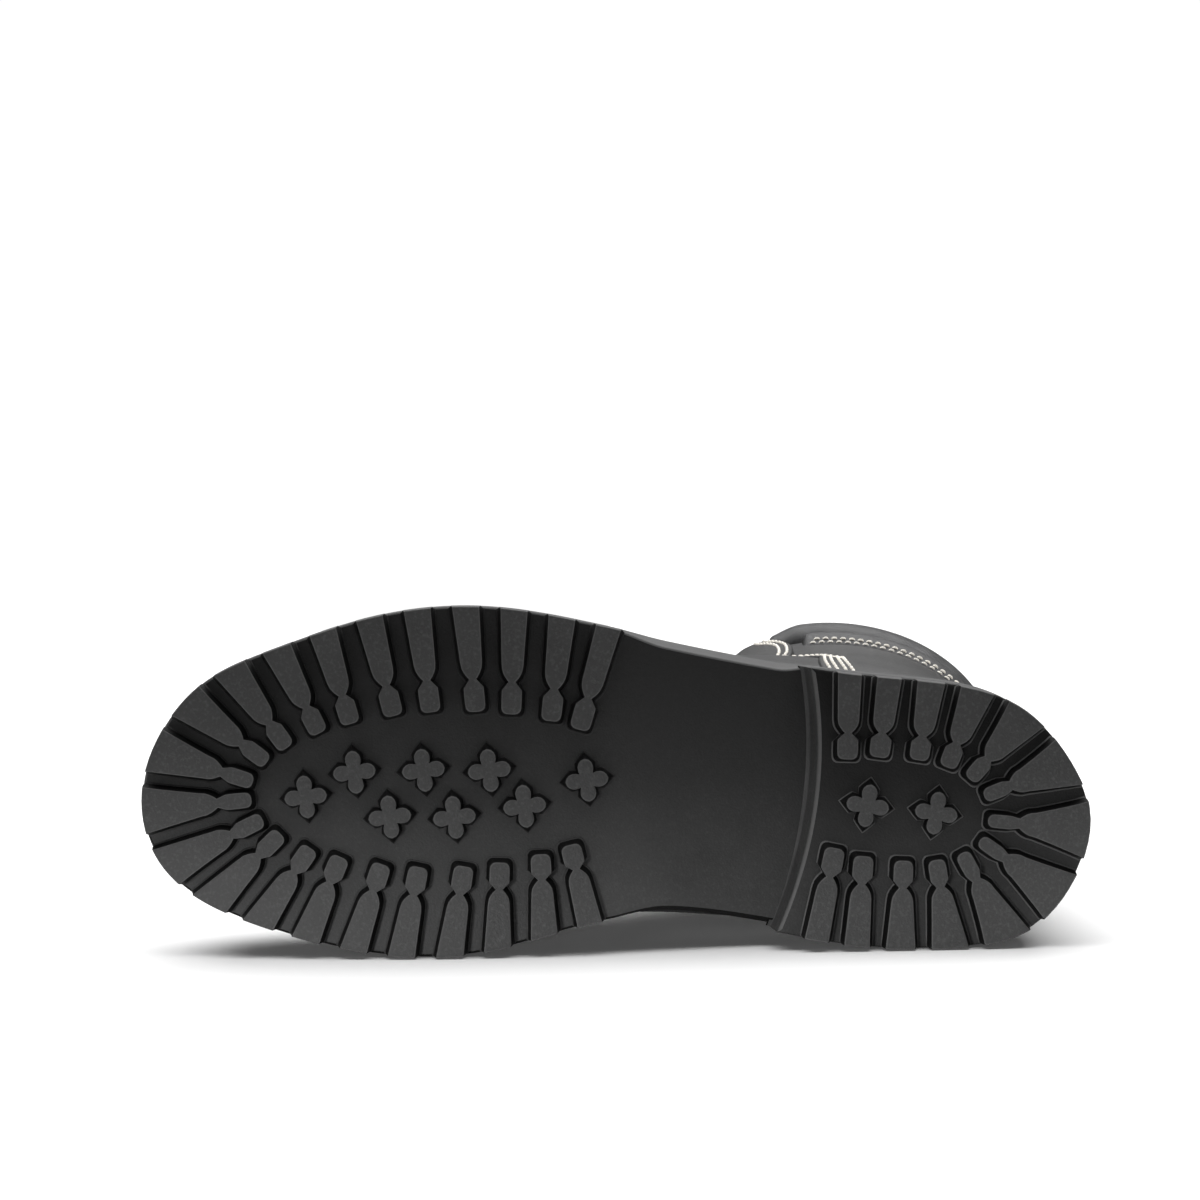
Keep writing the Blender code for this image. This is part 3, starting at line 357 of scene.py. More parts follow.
def lug(span, tip, floor_z):
    """One lug, lofted through its levels. Its outer end follows the outline, and the rows
    beside it are set back along the lug less and less, as the square of their nearness."""
    half = abs(span[1] - span[0]) / 2
    plans = []
    for grow, end_inset, share, more in LUG_LEVELS:
        outer = on_outline(span.mean(), end_inset)
        length = np.linalg.norm(tip - outer)
        along = (tip - outer) / length
        beside = np.array((-along[1], along[0]))
        shares, halves = lug_halves(half, length)
        end_half = half + min(grow, END_GROW)
        end = on_outline(span.mean() + LUG_COLUMNS * end_half, end_inset)
        spine = outer + (shares * (length + grow))[:, None] * along
        rows = spine[:, None] + ((halves + grow)[:, None] * LUG_COLUMNS)[..., None] * beside
        set_back = (end - outer) @ along * ((half + grow) / end_half) ** 2
        near_end = np.clip(1 - shares / TAPER[-1], 0, 1)[:, None] ** 2
        rows = rows + (near_end * set_back)[..., None] * along
        plan = np.concatenate((end[None], rows))
        low = tread_z(plan[..., 0])
        height = low + share * (floor_z(plan[..., 0]) - low) + more
        plans.append(np.concatenate((plan, height[..., None]), -1))
    points, quads, caps = moulded_block(plans[0], [border(plan) for plan in plans[1:]])
    around = len(border(plans[0]))
    walls = np.repeat(LUG_LOOKS, around).reshape(-1, around)
    # The outer end takes the paler rubber of the sides, painted as lit.
    walls[2:, :len(LUG_COLUMNS) - 1] = SIDE
    if floor_z is bare_z:
        walls[walls == LIP] = BARE
    top = np.full(len(quads) - walls.size, FACE)
    return points, quads, caps, np.concatenate((top, walls.ravel(), [PAINTED_SHADE]))


# Cross studs. Columns: station, side, turn in degrees, on the heel.
STUDS = (
    (253.4, 3.5, -7.0, False), (237.5, 11.7, -7.0, False), (226.0, -2.7, -7.0, False),
    (215.1, 12.5, -7.0, False), (205.1, -2.7, -7.0, False), (193.8, 12.5, -7.0, False),
    (182.4, 0.9, -7.0, False), (162.3, 9.3, -7.0, False), (71.5, 0.9, 9.0, True),
    (49.3, -1.5, 9.0, True),
)
# A quarter of a stud, from the notch between two petals over the tip to the next notch.
# Columns: along and beside the petal's axis on the face, and the same at the root.
PETAL = (
    (2.15, 2.15, 2.9, 2.9), (3.3, 2.45, 3.9, 3.2), (4.5, 2.5, 5.2, 3.4), (5.6, 2.15, 6.4, 2.45),
    (6.5, 1.35, 7.7, 1.2), (6.95, 0.0, 8.9, 0.0),
)
# Levels of a stud. Columns: share of the way from face to root plan, size, height share,
# more height.
STUD_LEVELS = (
    (0.0, 0.55, 0.0, 0.0), (0.0, 0.93, 0.0, 0.0), (0.0, 0.98, 0.0, 0.07), (0.04, 1.0, 0.0, 0.3),
    (0.8, 1.0, 1.0, -0.8), (1.0, 1.0, 1.0, -0.36), (1.0, 1.045, 1.0, -0.30),
    (1.0, 1.06, 1.0, -0.16), (1.0, 1.06, 1.0, 1.5),
)
STUD_LOOKS = (FACE, RIM, RIM, PAINTED_SHADE, PAINTED_SHADE, LIP, LIP, PAINTED_SHADE)    # between those levels


def stud(station, side, turn, floor_z):
    """One cross stud of four petals, round at the face and pointed at the root."""
    quarter = np.array(PETAL + tuple((a, -b, c, -d) for a, b, c, d in PETAL[-2:0:-1]))
    angles = np.radians(turn - 90.0 * np.arange(4))
    spin = np.stack((np.stack((np.cos(angles), -np.sin(angles)), -1),
                     np.stack((np.sin(angles), np.cos(angles)), -1)), 1)
    face, root = ((spin @ quarter[:, k:k + 2].T).transpose(0, 2, 1).reshape(-1, 2)
                  for k in (0, 2))
    rings = []
    for blend, size, share, more in STUD_LEVELS:
        plan = (face + (root - face) * blend) * size + (station, side)
        low = tread_z(plan[:, 0]) + LUG_HEIGHT - STUD_HEIGHT
        height = low + share * (floor_z(plan[:, 0]) - low) + more
        rings.append(np.column_stack((plan, height)))
    rings = np.array(rings)
    points, quads, caps = swept(np.concatenate((rings, rings[:, :1]), axis=1))
    looks = np.repeat(STUD_LOOKS, rings.shape[1])
    if floor_z is bare_z:
        looks[looks == LIP] = BARE
    return points, quads, caps, np.concatenate((looks, (FACE, PAINTED_SHADE)))


def heel_floor(s):
    """Bare level of the heel between its lugs."""
    return np.full_like(s, LUG_HEIGHT)


# Levels of the heel block from its ground face up. Columns: set in, breast leans forward
# by, height.
HEEL_LEVELS = (
    (1.3, -1.3, 5.0), (0.4, -0.4, 5.06), (0.0, 0.0, 5.5), (0.1, 0.5, 8.0), (0.3, 1.7, 14.6),
    (0.4, 2.2, 15.9), (0.4, 3.0, 16.45), (0.4, 3.4, 17.7),
)
HEEL_LOOKS = (LIP, LIP, FACE, FACE, LIP, LIP, PAINTED_SHADE)              # between those levels
HEEL_ROWS, HEEL_COLUMNS = 61, 25
BOW_COMES = 4             # the higher, the nearer the breast its rows start to bow


def heel_plan(inset, lean):
    """Grid over the heel's plan: rows between the lateral and medial edge that bow more and
    more, up to the breast, a parabola across the sole."""
    ends = []
    for values in (FINE[1:HALF], 1 - FINE[1:HALF]):
        edge = outline(values, inset)
        breast = BREAST + lean + BREAST_BOW * (edge[:, 1] - BREAST_CENTRE) ** 2
        last = np.argmax(edge[:, 0] > breast)
        over, under = (edge[:, 0] - breast)[[last, last - 1]]
        ends.append(values[last - 1] + (values[last] - values[last - 1]) * under / (under - over))
    share = np.linspace(0, 1, HEEL_ROWS)
    lateral = outline(share * ends[0], inset - SLAB_PROUD)
    medial = outline(1 - share * (1 - ends[1]), inset - SLAB_PROUD)
    across = np.linspace(0, 1, HEEL_COLUMNS)[:, None]
    grid = lateral[:, None] + (medial - lateral)[:, None] * across
    side = grid[-1, :, 1]
    chord = grid[-1, :, 0]
    bow = BREAST + lean + BREAST_BOW * (side - BREAST_CENTRE) ** 2 - chord
    grid[..., 0] += bow * share[:, None] ** BOW_COMES
    return grid


def at_height(plan, height):
    """Plan points with a height."""
    return np.concatenate((plan, np.broadcast_to(height, plan.shape[:-1])[..., None]), -1)


# Profile of the slab's edge from its top to its bare face. Columns: set in, share of the
# way down, more height.
SLAB_EDGE = (
    (0.7, 0.0, 0.0), (0.15, 0.0, -0.15), (0.0, 0.0, -0.6), (0.0, 0.35, 0.0), (0.0, 0.7, 0.0),
    (0.0, 1.0, 1.1), (0.1, 1.0, 0.55), (0.35, 1.0, 0.2), (0.8, 1.0, 0.03), (1.4, 1.0, 0.0),
    (3.0, 1.0, 0.0),
)
# Looks between the points of a ring of the slab: lateral edge, painted paler as lit; its
# rounding, painted paler as a highlight; bare face; medial edge, painted nearly black as shade;
# top.
SLAB_LOOKS = [SIDE] * 6 + [RIM] * 2 + [BARE] * 12 + [PAINTED_SHADE] * 8 + [SIDE]
SLAB_RINGS, BARE_COLUMNS = 241, 9
WAIST_START, WAIST_STOP = 12.0, 20.0   # mm over which the waist's edge starts and stops


def slab():
    """The sole's body as rings across it: down the lateral edge, over the bare face, up the
    medial edge and back over the top."""
    t = np.linspace(0.0, 0.5, SLAB_RINGS)
    station = SOLE_LENGTH / 2 * (1 - np.cos(2 * np.pi * t))
    waist = (smooth_step((station - BREAST) / WAIST_START)
             * smooth_step((ARCH_END - station) / WAIST_STOP))
    sides = []
    for values in (t, 1 - t):
        side = []
        for inset, share, more in SLAB_EDGE:
            plan = outline(values, inset + WAIST_BEVEL * waist * share - SLAB_PROUD * (1 - waist))
            top = seat_z(plan[:, 0])
            side.append(at_height(plan, top + (bare_z(plan[:, 0]) - top) * share + more))
        sides.append(np.stack(side, 1))
    lateral, medial = sides
    across = np.linspace(0, 1, BARE_COLUMNS)[1:-1, None]
    bare = lateral[:, -1:] + (medial[:, -1:] - lateral[:, -1:]) * across
    points, quads, caps = swept(np.concatenate((lateral, bare, medial[:, ::-1],
                                                lateral[:, :1]), axis=1))
    return points, quads, caps, SLAB_LOOKS * (len(t) - 1) + [SIDE, SIDE]


def heel_block():
    """Heel block: its plan at each level, from the ground face up, with its edge over and under
    the breast painted paler as a highlight. Its border runs up the medial edge, over the breast
    and down again."""
    grids = [at_height(heel_plan(inset, lean), height) for inset, lean, height in HEEL_LEVELS]
    points, quads, caps = moulded_block(grids[0], [border(grid) for grid in grids[1:]])
    count = len(border(grids[0]))
    walls = np.repeat(HEEL_LOOKS, count).reshape(-1, count)
    around = np.arange(count)
    corner = HEEL_ROWS + HEEL_COLUMNS - 2
    is_lateral = around >= corner + HEEL_COLUMNS - 1
    walls[:2][:, (around < corner) | is_lateral] = HEEL_BARE
    # The lateral side is painted paler, as lit.
    walls[2:5][:, is_lateral] = SIDE
    top = np.full(len(quads) - walls.size, HEEL_BARE)
    return points, quads, caps, np.concatenate((top, walls.ravel(), [PAINTED_SHADE]))


def linear(colour):
    """An sRGB hex colour as linear red, green, blue and alpha."""
    parts = np.array([int(colour[i:i + 2], 16) / 255 for i in (1, 3, 5)])
    return (*np.where(parts <= 0.04045, parts / 12.92, ((parts + 0.055) / 1.055) ** 2.4), 1.0)


def add_node(look, kind, settings=(), **takes):
    """Adds a node to a material. settings are its own properties, and for a ramp its stops of
    place and sRGB hex colour; takes are its inputs."""
    made = look.node_tree.nodes.new("ShaderNode" + kind)
    for key, value in dict(settings).items():
        if key == "stops":
            elements = made.color_ramp.elements
            for place, _ in value[len(elements):]:
                elements.new(place)
            for element, (place, shade) in zip(elements, value):
                element.position, element.color = place, linear(shade)
        else:
            setattr(made, key, value)
    connect(look, made, **takes)
    return made


def connect(look, made, **takes):
    """Gives a node's inputs, by identifier with _ for a space, each a value, an sRGB hex colour,
    another node's output, or another node for its first output."""
    sockets = {socket.identifier: socket for socket in made.inputs}
    for key, value in takes.items():
        socket = sockets[key if key in sockets else key.replace("_", " ")]
        if isinstance(value, bpy.types.Node):
            value = value.outputs[0]
        if isinstance(value, bpy.types.NodeSocket):
            look.node_tree.links.new(value, socket)
        else:
            socket.default_value = linear(value) if isinstance(value, str) else value


def new_look(name, **finish):
    """Material with a Principled shader of uniform values; returns it and the shader."""
    look = bpy.data.materials.new(name)
    look.use_nodes = True
    shader = look.node_tree.nodes["Principled BSDF"]
    connect(look, shader, **finish)
    return look, shader


def rubber_look(name, dark, light, rough, shine, dusty, painted_side_shade=()):
    """Moulded rubber: cloudy tone, a very fine even grain, and dusty specks. Its last argument, if
    given, is a painted shade: a ramp over height that darkens it from the medial to the lateral
    edge where the boot lies. Returns the material."""
    look, shader = new_look(name, IOR=1.5, Specular_IOR_Level=shine)
    place = add_node(look, "TexCoord").outputs["Object"]
    cloud = add_node(look, "TexNoise", Vector=place, Scale=45.0, Detail=5.0, Roughness=0.62)
    grain = add_node(look, "TexNoise", Vector=place, Scale=1400.0, Detail=2.0)
    speck = add_node(look, "TexNoise", Vector=place, Scale=900.0, Detail=3.0)
    tint = add_node(look, "ValToRGB", {"stops": ((0.30, dark), (0.72, light))}, Fac=cloud)
    dust = add_node(look, "ValToRGB", {"stops": ((0.50, "#000000"), (0.78, dusty))}, Fac=speck)
    colour = add_node(look, "MixRGB", {"blend_type": "ADD"}, Fac=1.0, Color1=tint, Color2=dust)
    # Painted shade: darker with height, towards the lateral edge, which lies uppermost.
    if painted_side_shade:
        up = add_node(look, "SeparateXYZ", Vector=place).outputs["Z"]
        shade = add_node(look, "ValToRGB", {"stops": painted_side_shade}, Fac=up)
        colour = add_node(look, "MixRGB", {"blend_type": "MULTIPLY"}, Fac=1.0, Color1=colour,
                          Color2=shade)
    matt = add_node(look, "MapRange", Value=cloud, From_Min=0.3, From_Max=0.7,
                    To_Min=rough - 0.07, To_Max=rough + 0.07)
    connect(look, shader, Base_Color=colour, Roughness=matt,
            Normal=add_node(look, "Bump", Height=grain, Strength=0.5, Distance=0.0003))
    return look


# Nitrile rubber, moulded against spark-eroded steel. The lugs' faces are matt charcoal with a
# fine even grain and a trace of dust. Moulded edges and flash lines are painted paler, as
# highlights.
# The lugs' walls, the recesses and the medial edge are painted nearly black, as shade. The
# lateral edge and the lugs' outer ends are painted paler, as lit, and are duller. The bare sole
# is dusty and the bare heel waxed, and both carry a painted shade that darkens them towards the
# lateral edge, which lies uppermost.
rubber_looks = [
    rubber_look("buffed rubber of the lug faces", "#252525", "#303030", 0.62, 0.38, "#262626"),
    rubber_look("rubber edge painted paler as a highlight", "#323232", "#404040", 0.6, 0.45, "#101010"),
    rubber_look("rubber of the recesses painted nearly black as shade", "#080808", "#0f0f0f", 0.6, 0.10, "#0c0c0c"),
    rubber_look("rubber of the sides painted paler as lit", "#3c3c3c", "#4a4a4a", 0.66, 0.5, "#141414"),
    rubber_look("flash line painted paler as a highlight", "#343434", "#444444", 0.6, 0.45, "#101010"),
    rubber_look("dusty rubber of the bare sole with painted shade", "#2a2a2a", "#363636", 0.64, 0.3, "#1a1a1a",
                ((0.015, "#ffffff"), (0.06, "#a0a0a0"), (0.10, "#606060"))),
    rubber_look("waxed rubber of the bare heel with painted shade", "#262626", "#303030", 0.62, 0.18, "#141414",
                ((0.012, "#ffffff"), (0.055, "#909090"), (0.09, "#383838")))]
bodies = [slab(), heel_block()]
for name, ring in LUG_RINGS.items():
    for span, tip in zip(*lug_ring(ring)):
        bodies.append(lug(span, tip, heel_floor if name == "heel" else bare_z))
for station, side, turn, on_heel in STUDS:
    bodies.append(stud(station, side, turn, heel_floor if on_heel else bare_z))
outsole = make_piece("outsole_rubber", bodies, rubber_looks)
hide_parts("outsole")


# ================================================================ welt
# Black rubber welt strip, flat with rounded edges, laid round the last between upper and
# sole and lockstitched through with waxed black thread.

GAP = 0.3                 # between the sole, the welt and the insole
WELT_THICKNESS = 3.0
WELT_HEEL, WELT_TOE = 4.0, 5.2           # width of the ledge outside the upper
WELT_SET_IN = 0.4
WELT_TUCK = 1.5                          # how far the strip reaches under the upper
WELT_STITCH_IN, WELT_STITCH_SUNK = 2.3, 0.05
WELT_STITCH = 5.2, 4.2, 1.1              # pitch, length and width
WELT_POINTS = 481
STITCH_SUNK, STITCH_SIDES = 0.3, 6       # how deep a stitch's ends dive, its facets


def welt_ledge(t):
    """Width of the ledge outside the upper at t."""
    return WELT_HEEL + (WELT_TOE - WELT_HEEL) * (1 - np.cos(2 * np.pi * np.asarray(t))) / 2


# Section of the strip. Columns: set in, share of the way to under the upper, height.
WELT_SECTION = (
    (0.8, 0.0, 0.0), (0.15, 0.0, 0.2), (0.0, 0.0, 0.8), (0.0, 0.0, 2.2), (0.15, 0.0, 2.75),
    (0.7, 0.0, 3.0), (0.0, 0.35, 2.93), (0.0, 0.5, 2.93), (0.0, 0.9, 3.0), (0.0, 1.0, 3.0),
    (0.0, 1.0, 0.0),
)
welt_t = np.linspace(0.0, 1.0, WELT_POINTS)
welt_rings = []
for inset, share, height in WELT_SECTION:
    plan = outline(welt_t, WELT_SET_IN + inset
                   + share * (welt_ledge(welt_t) + WELT_TUCK - WELT_SET_IN))
    welt_rings.append(at_height(plan, seat_z(plan[:, 0]) + GAP + height))
welt_rings.append(welt_rings[0])
# Extruded PVC welting: black, a little glossier than the sole, with an uneven sheen.
welting, shader = new_look("extruded black welting", Base_Color="#232323", IOR=1.5,
                           Specular_IOR_Level=0.5)
place = add_node(welting, "TexCoord").outputs["Object"]
wear = add_node(welting, "TexNoise", Vector=place, Scale=160.0, Detail=4.0)
fine = add_node(welting, "TexNoise", Vector=place, Scale=1100.0, Detail=2.0)
connect(welting, shader,
        Roughness=add_node(welting, "MapRange", Value=wear, To_Min=0.38, To_Max=0.6),
        Normal=add_node(welting, "Bump", Height=fine, Strength=0.2, Distance=0.0002))
welt = make_piece("welt_strip", [swept(np.stack(welt_rings, 1), closed=True)], [welting])
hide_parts("welt")


def stitch_bodies(path, out, sizes, shift=0.0):
    """Stitches in a row: at even steps along a path of points with outward normals, each a
    little rounded bar whose ends dive into the leather. sizes are pitch, length and width;
    shift moves the row along by a share of the pitch."""
    pitch, length, width = sizes
    arc = lengths_from(path)
    count = int((arc[-1] - length) / pitch)
    middle = length / 2 + pitch * (np.arange(count) + 0.5 + shift)
    middle = middle[middle < arc[-1] - length / 2]
    shape = np.array(STITCH_SHAPE)
    along = middle[:, None] + shape[:, 0] * length / 2
    spine, normal = (np.stack([np.interp(along, arc, values[:, k]) for k in range(3)], -1)
                     for values in (path, out))
    normal = unit(normal)
    beside = unit(np.cross(normal, np.gradient(spine, axis=1)))
    angle = np.linspace(0, 2 * np.pi, STITCH_SIDES + 1)
    radius = width / 2 * shape[:, 2]
    lift = width / 2 * shape[:, 1] - STITCH_SUNK * (1 - shape[:, 2])
    rings = (spine[:, :, None] + normal[:, :, None] * (lift[:, None] + radius[:, None]
                                                       * np.sin(angle))[..., None]
             + beside[:, :, None] * (radius[:, None] * np.cos(angle))[..., None])
    return [swept(stitch) for stitch in rings]


# A stitch from end to end. Columns: place, height and radius as shares of its half width.
STITCH_SHAPE = ((-1.0, -0.9, 0.45), (-0.86, -0.1, 0.8), (-0.4, 0.35, 1.0), (0.4, 0.35, 1.0),
                (0.86, -0.1, 0.8), (1.0, -0.9, 0.45))
# Twisted polyester sewing thread, waxed black for the welt: smooth, with a dull gleam.
black_thread, shader = new_look("waxed black thread", Base_Color="#2b2b2b", Roughness=0.5)
place = add_node(black_thread, "TexCoord").outputs["Object"]
ply = add_node(black_thread, "TexNoise", Vector=place, Scale=2500.0)
connect(black_thread, shader,
        Normal=add_node(black_thread, "Bump", Height=ply, Strength=0.5, Distance=0.0002))
plan = outline(welt_t, WELT_STITCH_IN)
row = at_height(plan, seat_z(plan[:, 0]) + GAP + WELT_THICKNESS - WELT_STITCH_SUNK)
upright = np.broadcast_to((0.0, 0.0, 1.0), row.shape)
welt_stitches = make_piece("welt_stitches", stitch_bodies(row, upright, WELT_STITCH),
                           [black_thread])


# ================================================================ insole
# Footbed of grey needle felt on a board, dropped in over the welt's rib, with its edge
# turned up a little where the foot has pressed it against the upper.

INSOLE_THICKNESS = 4.0
INSOLE_CLEAR = 1.5        # between its edge and the wall
TURN_UP, TURN_UP_OVER = 0.9, 7.0         # height of its turned-up rim, and how far in it goes
EDGE_DROP, EDGE_DROP_OVER = 1.1, 0.8     # the same for the rounding of its cut edge
WALL = 2.2                # leather and lining of the upper
INSOLE_ROWS, INSOLE_COLUMNS = 121, 25
insole_t = np.linspace(0.0, 0.5, INSOLE_ROWS)
set_in = welt_ledge(insole_t) + WALL + INSOLE_CLEAR
edge = [outline(values, set_in) for values in (insole_t, 1 - insole_t)]
across = np.linspace(0, 1, INSOLE_COLUMNS)[:, None]
plan = edge[0][:, None] + (edge[1] - edge[0])[:, None] * across
width = np.linalg.norm(edge[1] - edge[0], axis=1)[:, None]
rim = np.minimum(across[:, 0], 1 - across[:, 0]) * width
dish = (TURN_UP * np.exp(-(rim / TURN_UP_OVER) ** 2)
        - EDGE_DROP * np.exp(-(rim / EDGE_DROP_OVER) ** 2))
low = seat_z(plan[..., 0]) + GAP


def closed_sheet(top, bottom):
    """Closed body between two grids of points, one over the other."""
    rows, columns = top.shape[:2]
    count = rows * columns
    rim = border(np.arange(count).reshape(rows, columns))
    after = np.roll(rim, -1)
    walls = np.stack((rim, after, after + count, rim + count), -1)
    points = np.concatenate((top.reshape(-1, 3), bottom.reshape(-1, 3)))
    return points, np.concatenate((grid_quads(rows, columns), grid_quads(rows, columns, count),
                                   walls)), []


# Needle-punched polyester felt: dull grey, with loose fibres that scatter light evenly.
felt, shader = new_look("grey needled felt", Roughness=0.95, Sheen_Weight=0.3,
                        Specular_IOR_Level=0.1)
place = add_node(felt, "TexCoord").outputs["Object"]
fibre = add_node(felt, "TexNoise", Vector=place, Scale=900.0, Detail=6.0, Roughness=0.8)
shade = add_node(felt, "ValToRGB", {"stops": ((0.3, "#4a4a48"), (0.7, "#6a6a66"))}, Fac=fibre)
connect(felt, shader, Base_Color=shade,
        Normal=add_node(felt, "Bump", Height=fibre, Strength=0.6, Distance=0.0005))
insole = make_piece("insole_felt", [closed_sheet(at_height(plan, low + INSOLE_THICKNESS + dish),
                                                 at_height(plan, low + 0.1))], [felt])
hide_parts("insole")


# ================================================================ upper
# Hollow shell of black oiled full-grain leather, cut as a plain-toe vamp and two quarters,
# lined with textile and lasted over the insole. Open at the collar, throat and underneath.

# Planes across the boot, from toe to collar, each from its foot on the feather edge (or,
# with a rise, on the back seam) to its crown. Columns: name, station of the foot, rise,
# station and height of the crown, side shift of the back seam and of the crown, widest
# lateral and medial reach, how far up it is widest, fullness of the crown.
SECTIONS = (
    ("toe tip", 301.8, 0, 301.8, 31.0, 1.2, 1.2, 1.2, 1.2, 0.50, 2.0),
    ("toe front", 298.0, 0, 299.6, 46.0, 2.0, 2.5, 23.5, -16.0, 0.50, 2.1),
    ("toe box", 285.5, 0, 289.5, 64.0, 3.4, 4.5, 37.5, -26.5, 0.46, 2.4),
    ("toe box back", 262.0, 0, 267.0, 73.5, 6.0, 6.0, 48.5, -35.5, 0.42, 2.4),
    ("ball", 232.0, 0, 238.0, 80.5, 8.0, 6.5, 58.0, -42.5, 0.36, 2.2),
    ("joint", 196.0, 0, 211.0, 90.0, 8.0, 6.5, 60.5, -42.5, 0.32, 2.0),
    ("throat", 162.0, 0, 191.0, 100.0, 8.0, 6.5, 56.5, -38.0, 0.30, 1.9),
    ("instep", 126.0, 0, 177.0, 110.0, 5.0, 6.0, 49.0, -38.5, 0.30, 1.9),
    ("arch", 90.0, 0, 166.0, 119.5, 0.0, 5.5, 46.5, -40.5, 0.32, 1.9),
    ("seat", 50.0, 0, 156.5, 129.0, -3.0, 5.0, 46.0, -41.5, 0.36, 2.0),
    ("heel", 17.0, 0, 149.0, 138.0, -4.0, 5.0, 43.2, -41.0, 0.42, 2.0),
    ("heel back", 4.0, 0, 144.0, 145.0, -4.0, 5.0, 41.0, -39.5, 0.46, 2.0),
    ("counter", 2.6, 30, 139.0, 154.0, -3.0, 5.0, 39.0, -37.5, 0.48, 2.0),
    ("ankle", 9.0, 66, 133.0, 167.0, -0.5, 5.0, 40.0, -34.5, 0.49, 2.0),
    ("shaft", 14.0, 103, 127.5, 184.0, 3.0, 5.0, 43.0, -34.0, 0.50, 2.0),
    ("collar seam", 15.5, 139, 124.5, 200.0, 5.0, 5.0, 45.0, -35.0, 0.50, 2.0),
    ("top", 16.0, 176, 123.0, 213.0, 5.0, 5.0, 45.0, -35.0, 0.50, 2.0),
    ("tongue top", 16.0, 189, 122.0, 226.0, 5.0, 5.0, 45.0, -35.0, 0.50, 2.0),
)
THROAT_ROW, HEEL_ROW, COLLAR_ROW, TOP_ROW, TONGUE_ROW = (
    [row[0] for row in SECTIONS].index(name)
    for name in ("throat", "heel back", "collar seam", "top", "tongue top"))
COLUMNS = ("foot", "rise", "crown s", "crown z", "seam", "crown side", "lateral", "medial",
           "widest", "fullness")
WIDEST_AT = 0.4           # share of a half section's parameter below its widest point
TINY = 1e-6
FOOT_LIMIT = 0.995        # a foot stands out to at most this share of the widest reach
THROAT_HALF = (15.0, 18.0)   # half the throat's width at its foot and at the top
FEATHER = outline(FINE, welt_ledge(FINE))

# Soft creases where the boot bends. Columns: row of the table at the crown, how much the
# row changes towards the sides, from and to across, depth (a ridge is negative), width.
CREASES = (
    (3.95, 0.35, -0.72, 0.70, 0.85, 5.0), (4.40, 0.30, -0.66, 0.64, -0.45, 5.0),
    (4.85, 0.45, -0.74, 0.76, 0.95, 5.5), (5.45, 0.55, -0.60, 0.62, 0.60, 5.0),
    (10.9, -0.9, 0.30, 0.86, 0.80, 6.0), (11.6, -0.8, 0.34, 0.90, -0.50, 6.0),
    (10.8, -0.9, -0.86, -0.32, 0.85, 6.0), (11.7, -0.8, -0.88, -0.36, -0.50, 6.0),
    (12.5, -0.4, 0.36, 0.80, 0.60, 5.0), (12.4, -0.4, -0.82, -0.38, 0.65, 5.0),
)
ROW_MM = 17.0             # usual distance between two rows of the table where it creases
CREASE_FADE = 4           # a crease fades out over one part in so many of its length


def feather_z(s):
    """Level of the welt's top, where the upper leaves the welt."""
    return seat_z(s) + GAP + WELT_THICKNESS


def feather_side(s, lateral):
    """Side position of the feather edge at a station, on the lateral or medial side."""
    near = FEATHER[:HALF + 1] if lateral else FEATHER[:HALF - 1:-1]
    return np.interp(s, near[:, 0], near[:, 1])


def section(u):
    """The table's columns at u, counted in rows of the table. Where the foot stands on the
    sole the seam column becomes the middle of the feather edge."""
    rows = np.arange(len(SECTIONS))
    at = {name: through_rows(rows, [row[k + 1] for row in SECTIONS], u)
          for k, name in enumerate(COLUMNS)}
    at["on sole"] = at["rise"] <= 0
    middle = (feather_side(at["foot"], True) + feather_side(at["foot"], False)) / 2
    at["seam"] = np.where(at["on sole"], middle, at["seam"])
    return at


def half_reach(at, lateral):
    """Reach of a section to one side of its middle line."""
    middle = at["seam"] + (at["crown side"] - at["seam"]) * at["widest"]
    return np.where(lateral, at["lateral"], at["medial"]) - middle


def section_surface(u, across):
    """Outer face of the leather on the last. across runs from +1 at the lateral foot over 0
    at the crown to -1 at the medial foot. Below its widest point a half section is an arc
    of an ellipse; above it is a quarter of a superellipse of the crown's fullness."""
    u, across = np.broadcast_arrays(np.asarray(u, dtype=float), np.asarray(across, dtype=float))
    lateral = across >= 0
    q = 1 - np.abs(across)
    at = section(u)
    edge = np.where(lateral, feather_side(at["foot"], True), feather_side(at["foot"], False))
    start = np.where(at["on sole"], edge, at["seam"])
    foot_z = feather_z(at["foot"]) + np.maximum(at["rise"], 0)
    reach = half_reach(at, lateral)
    safe_reach = np.where(np.abs(reach) < TINY, 1.0, reach)
    first = np.arcsin(np.clip((start - at["seam"]) / safe_reach, 0.0, FOOT_LIMIT))
    low = first + (np.pi / 2 - first) * np.clip(q / WIDEST_AT, 0, 1)
    high = np.pi / 2 * np.clip((q - WIDEST_AT) / (1 - WIDEST_AT), 0, 1)
    below = q < WIDEST_AT
    power = 2 / at["fullness"]
    up = np.where(below, at["widest"] * (1 - np.cos(low) / np.cos(first)),
                  at["widest"] + (1 - at["widest"]) * np.sin(high) ** power)
    beside = reach * np.where(below, np.sin(low), np.cos(high) ** power)
    return np.stack((at["foot"] + (at["crown s"] - at["foot"]) * up,
                     at["seam"] + (at["crown side"] - at["seam"]) * up + beside,
                     foot_z + (at["crown z"] - foot_z) * up), -1)


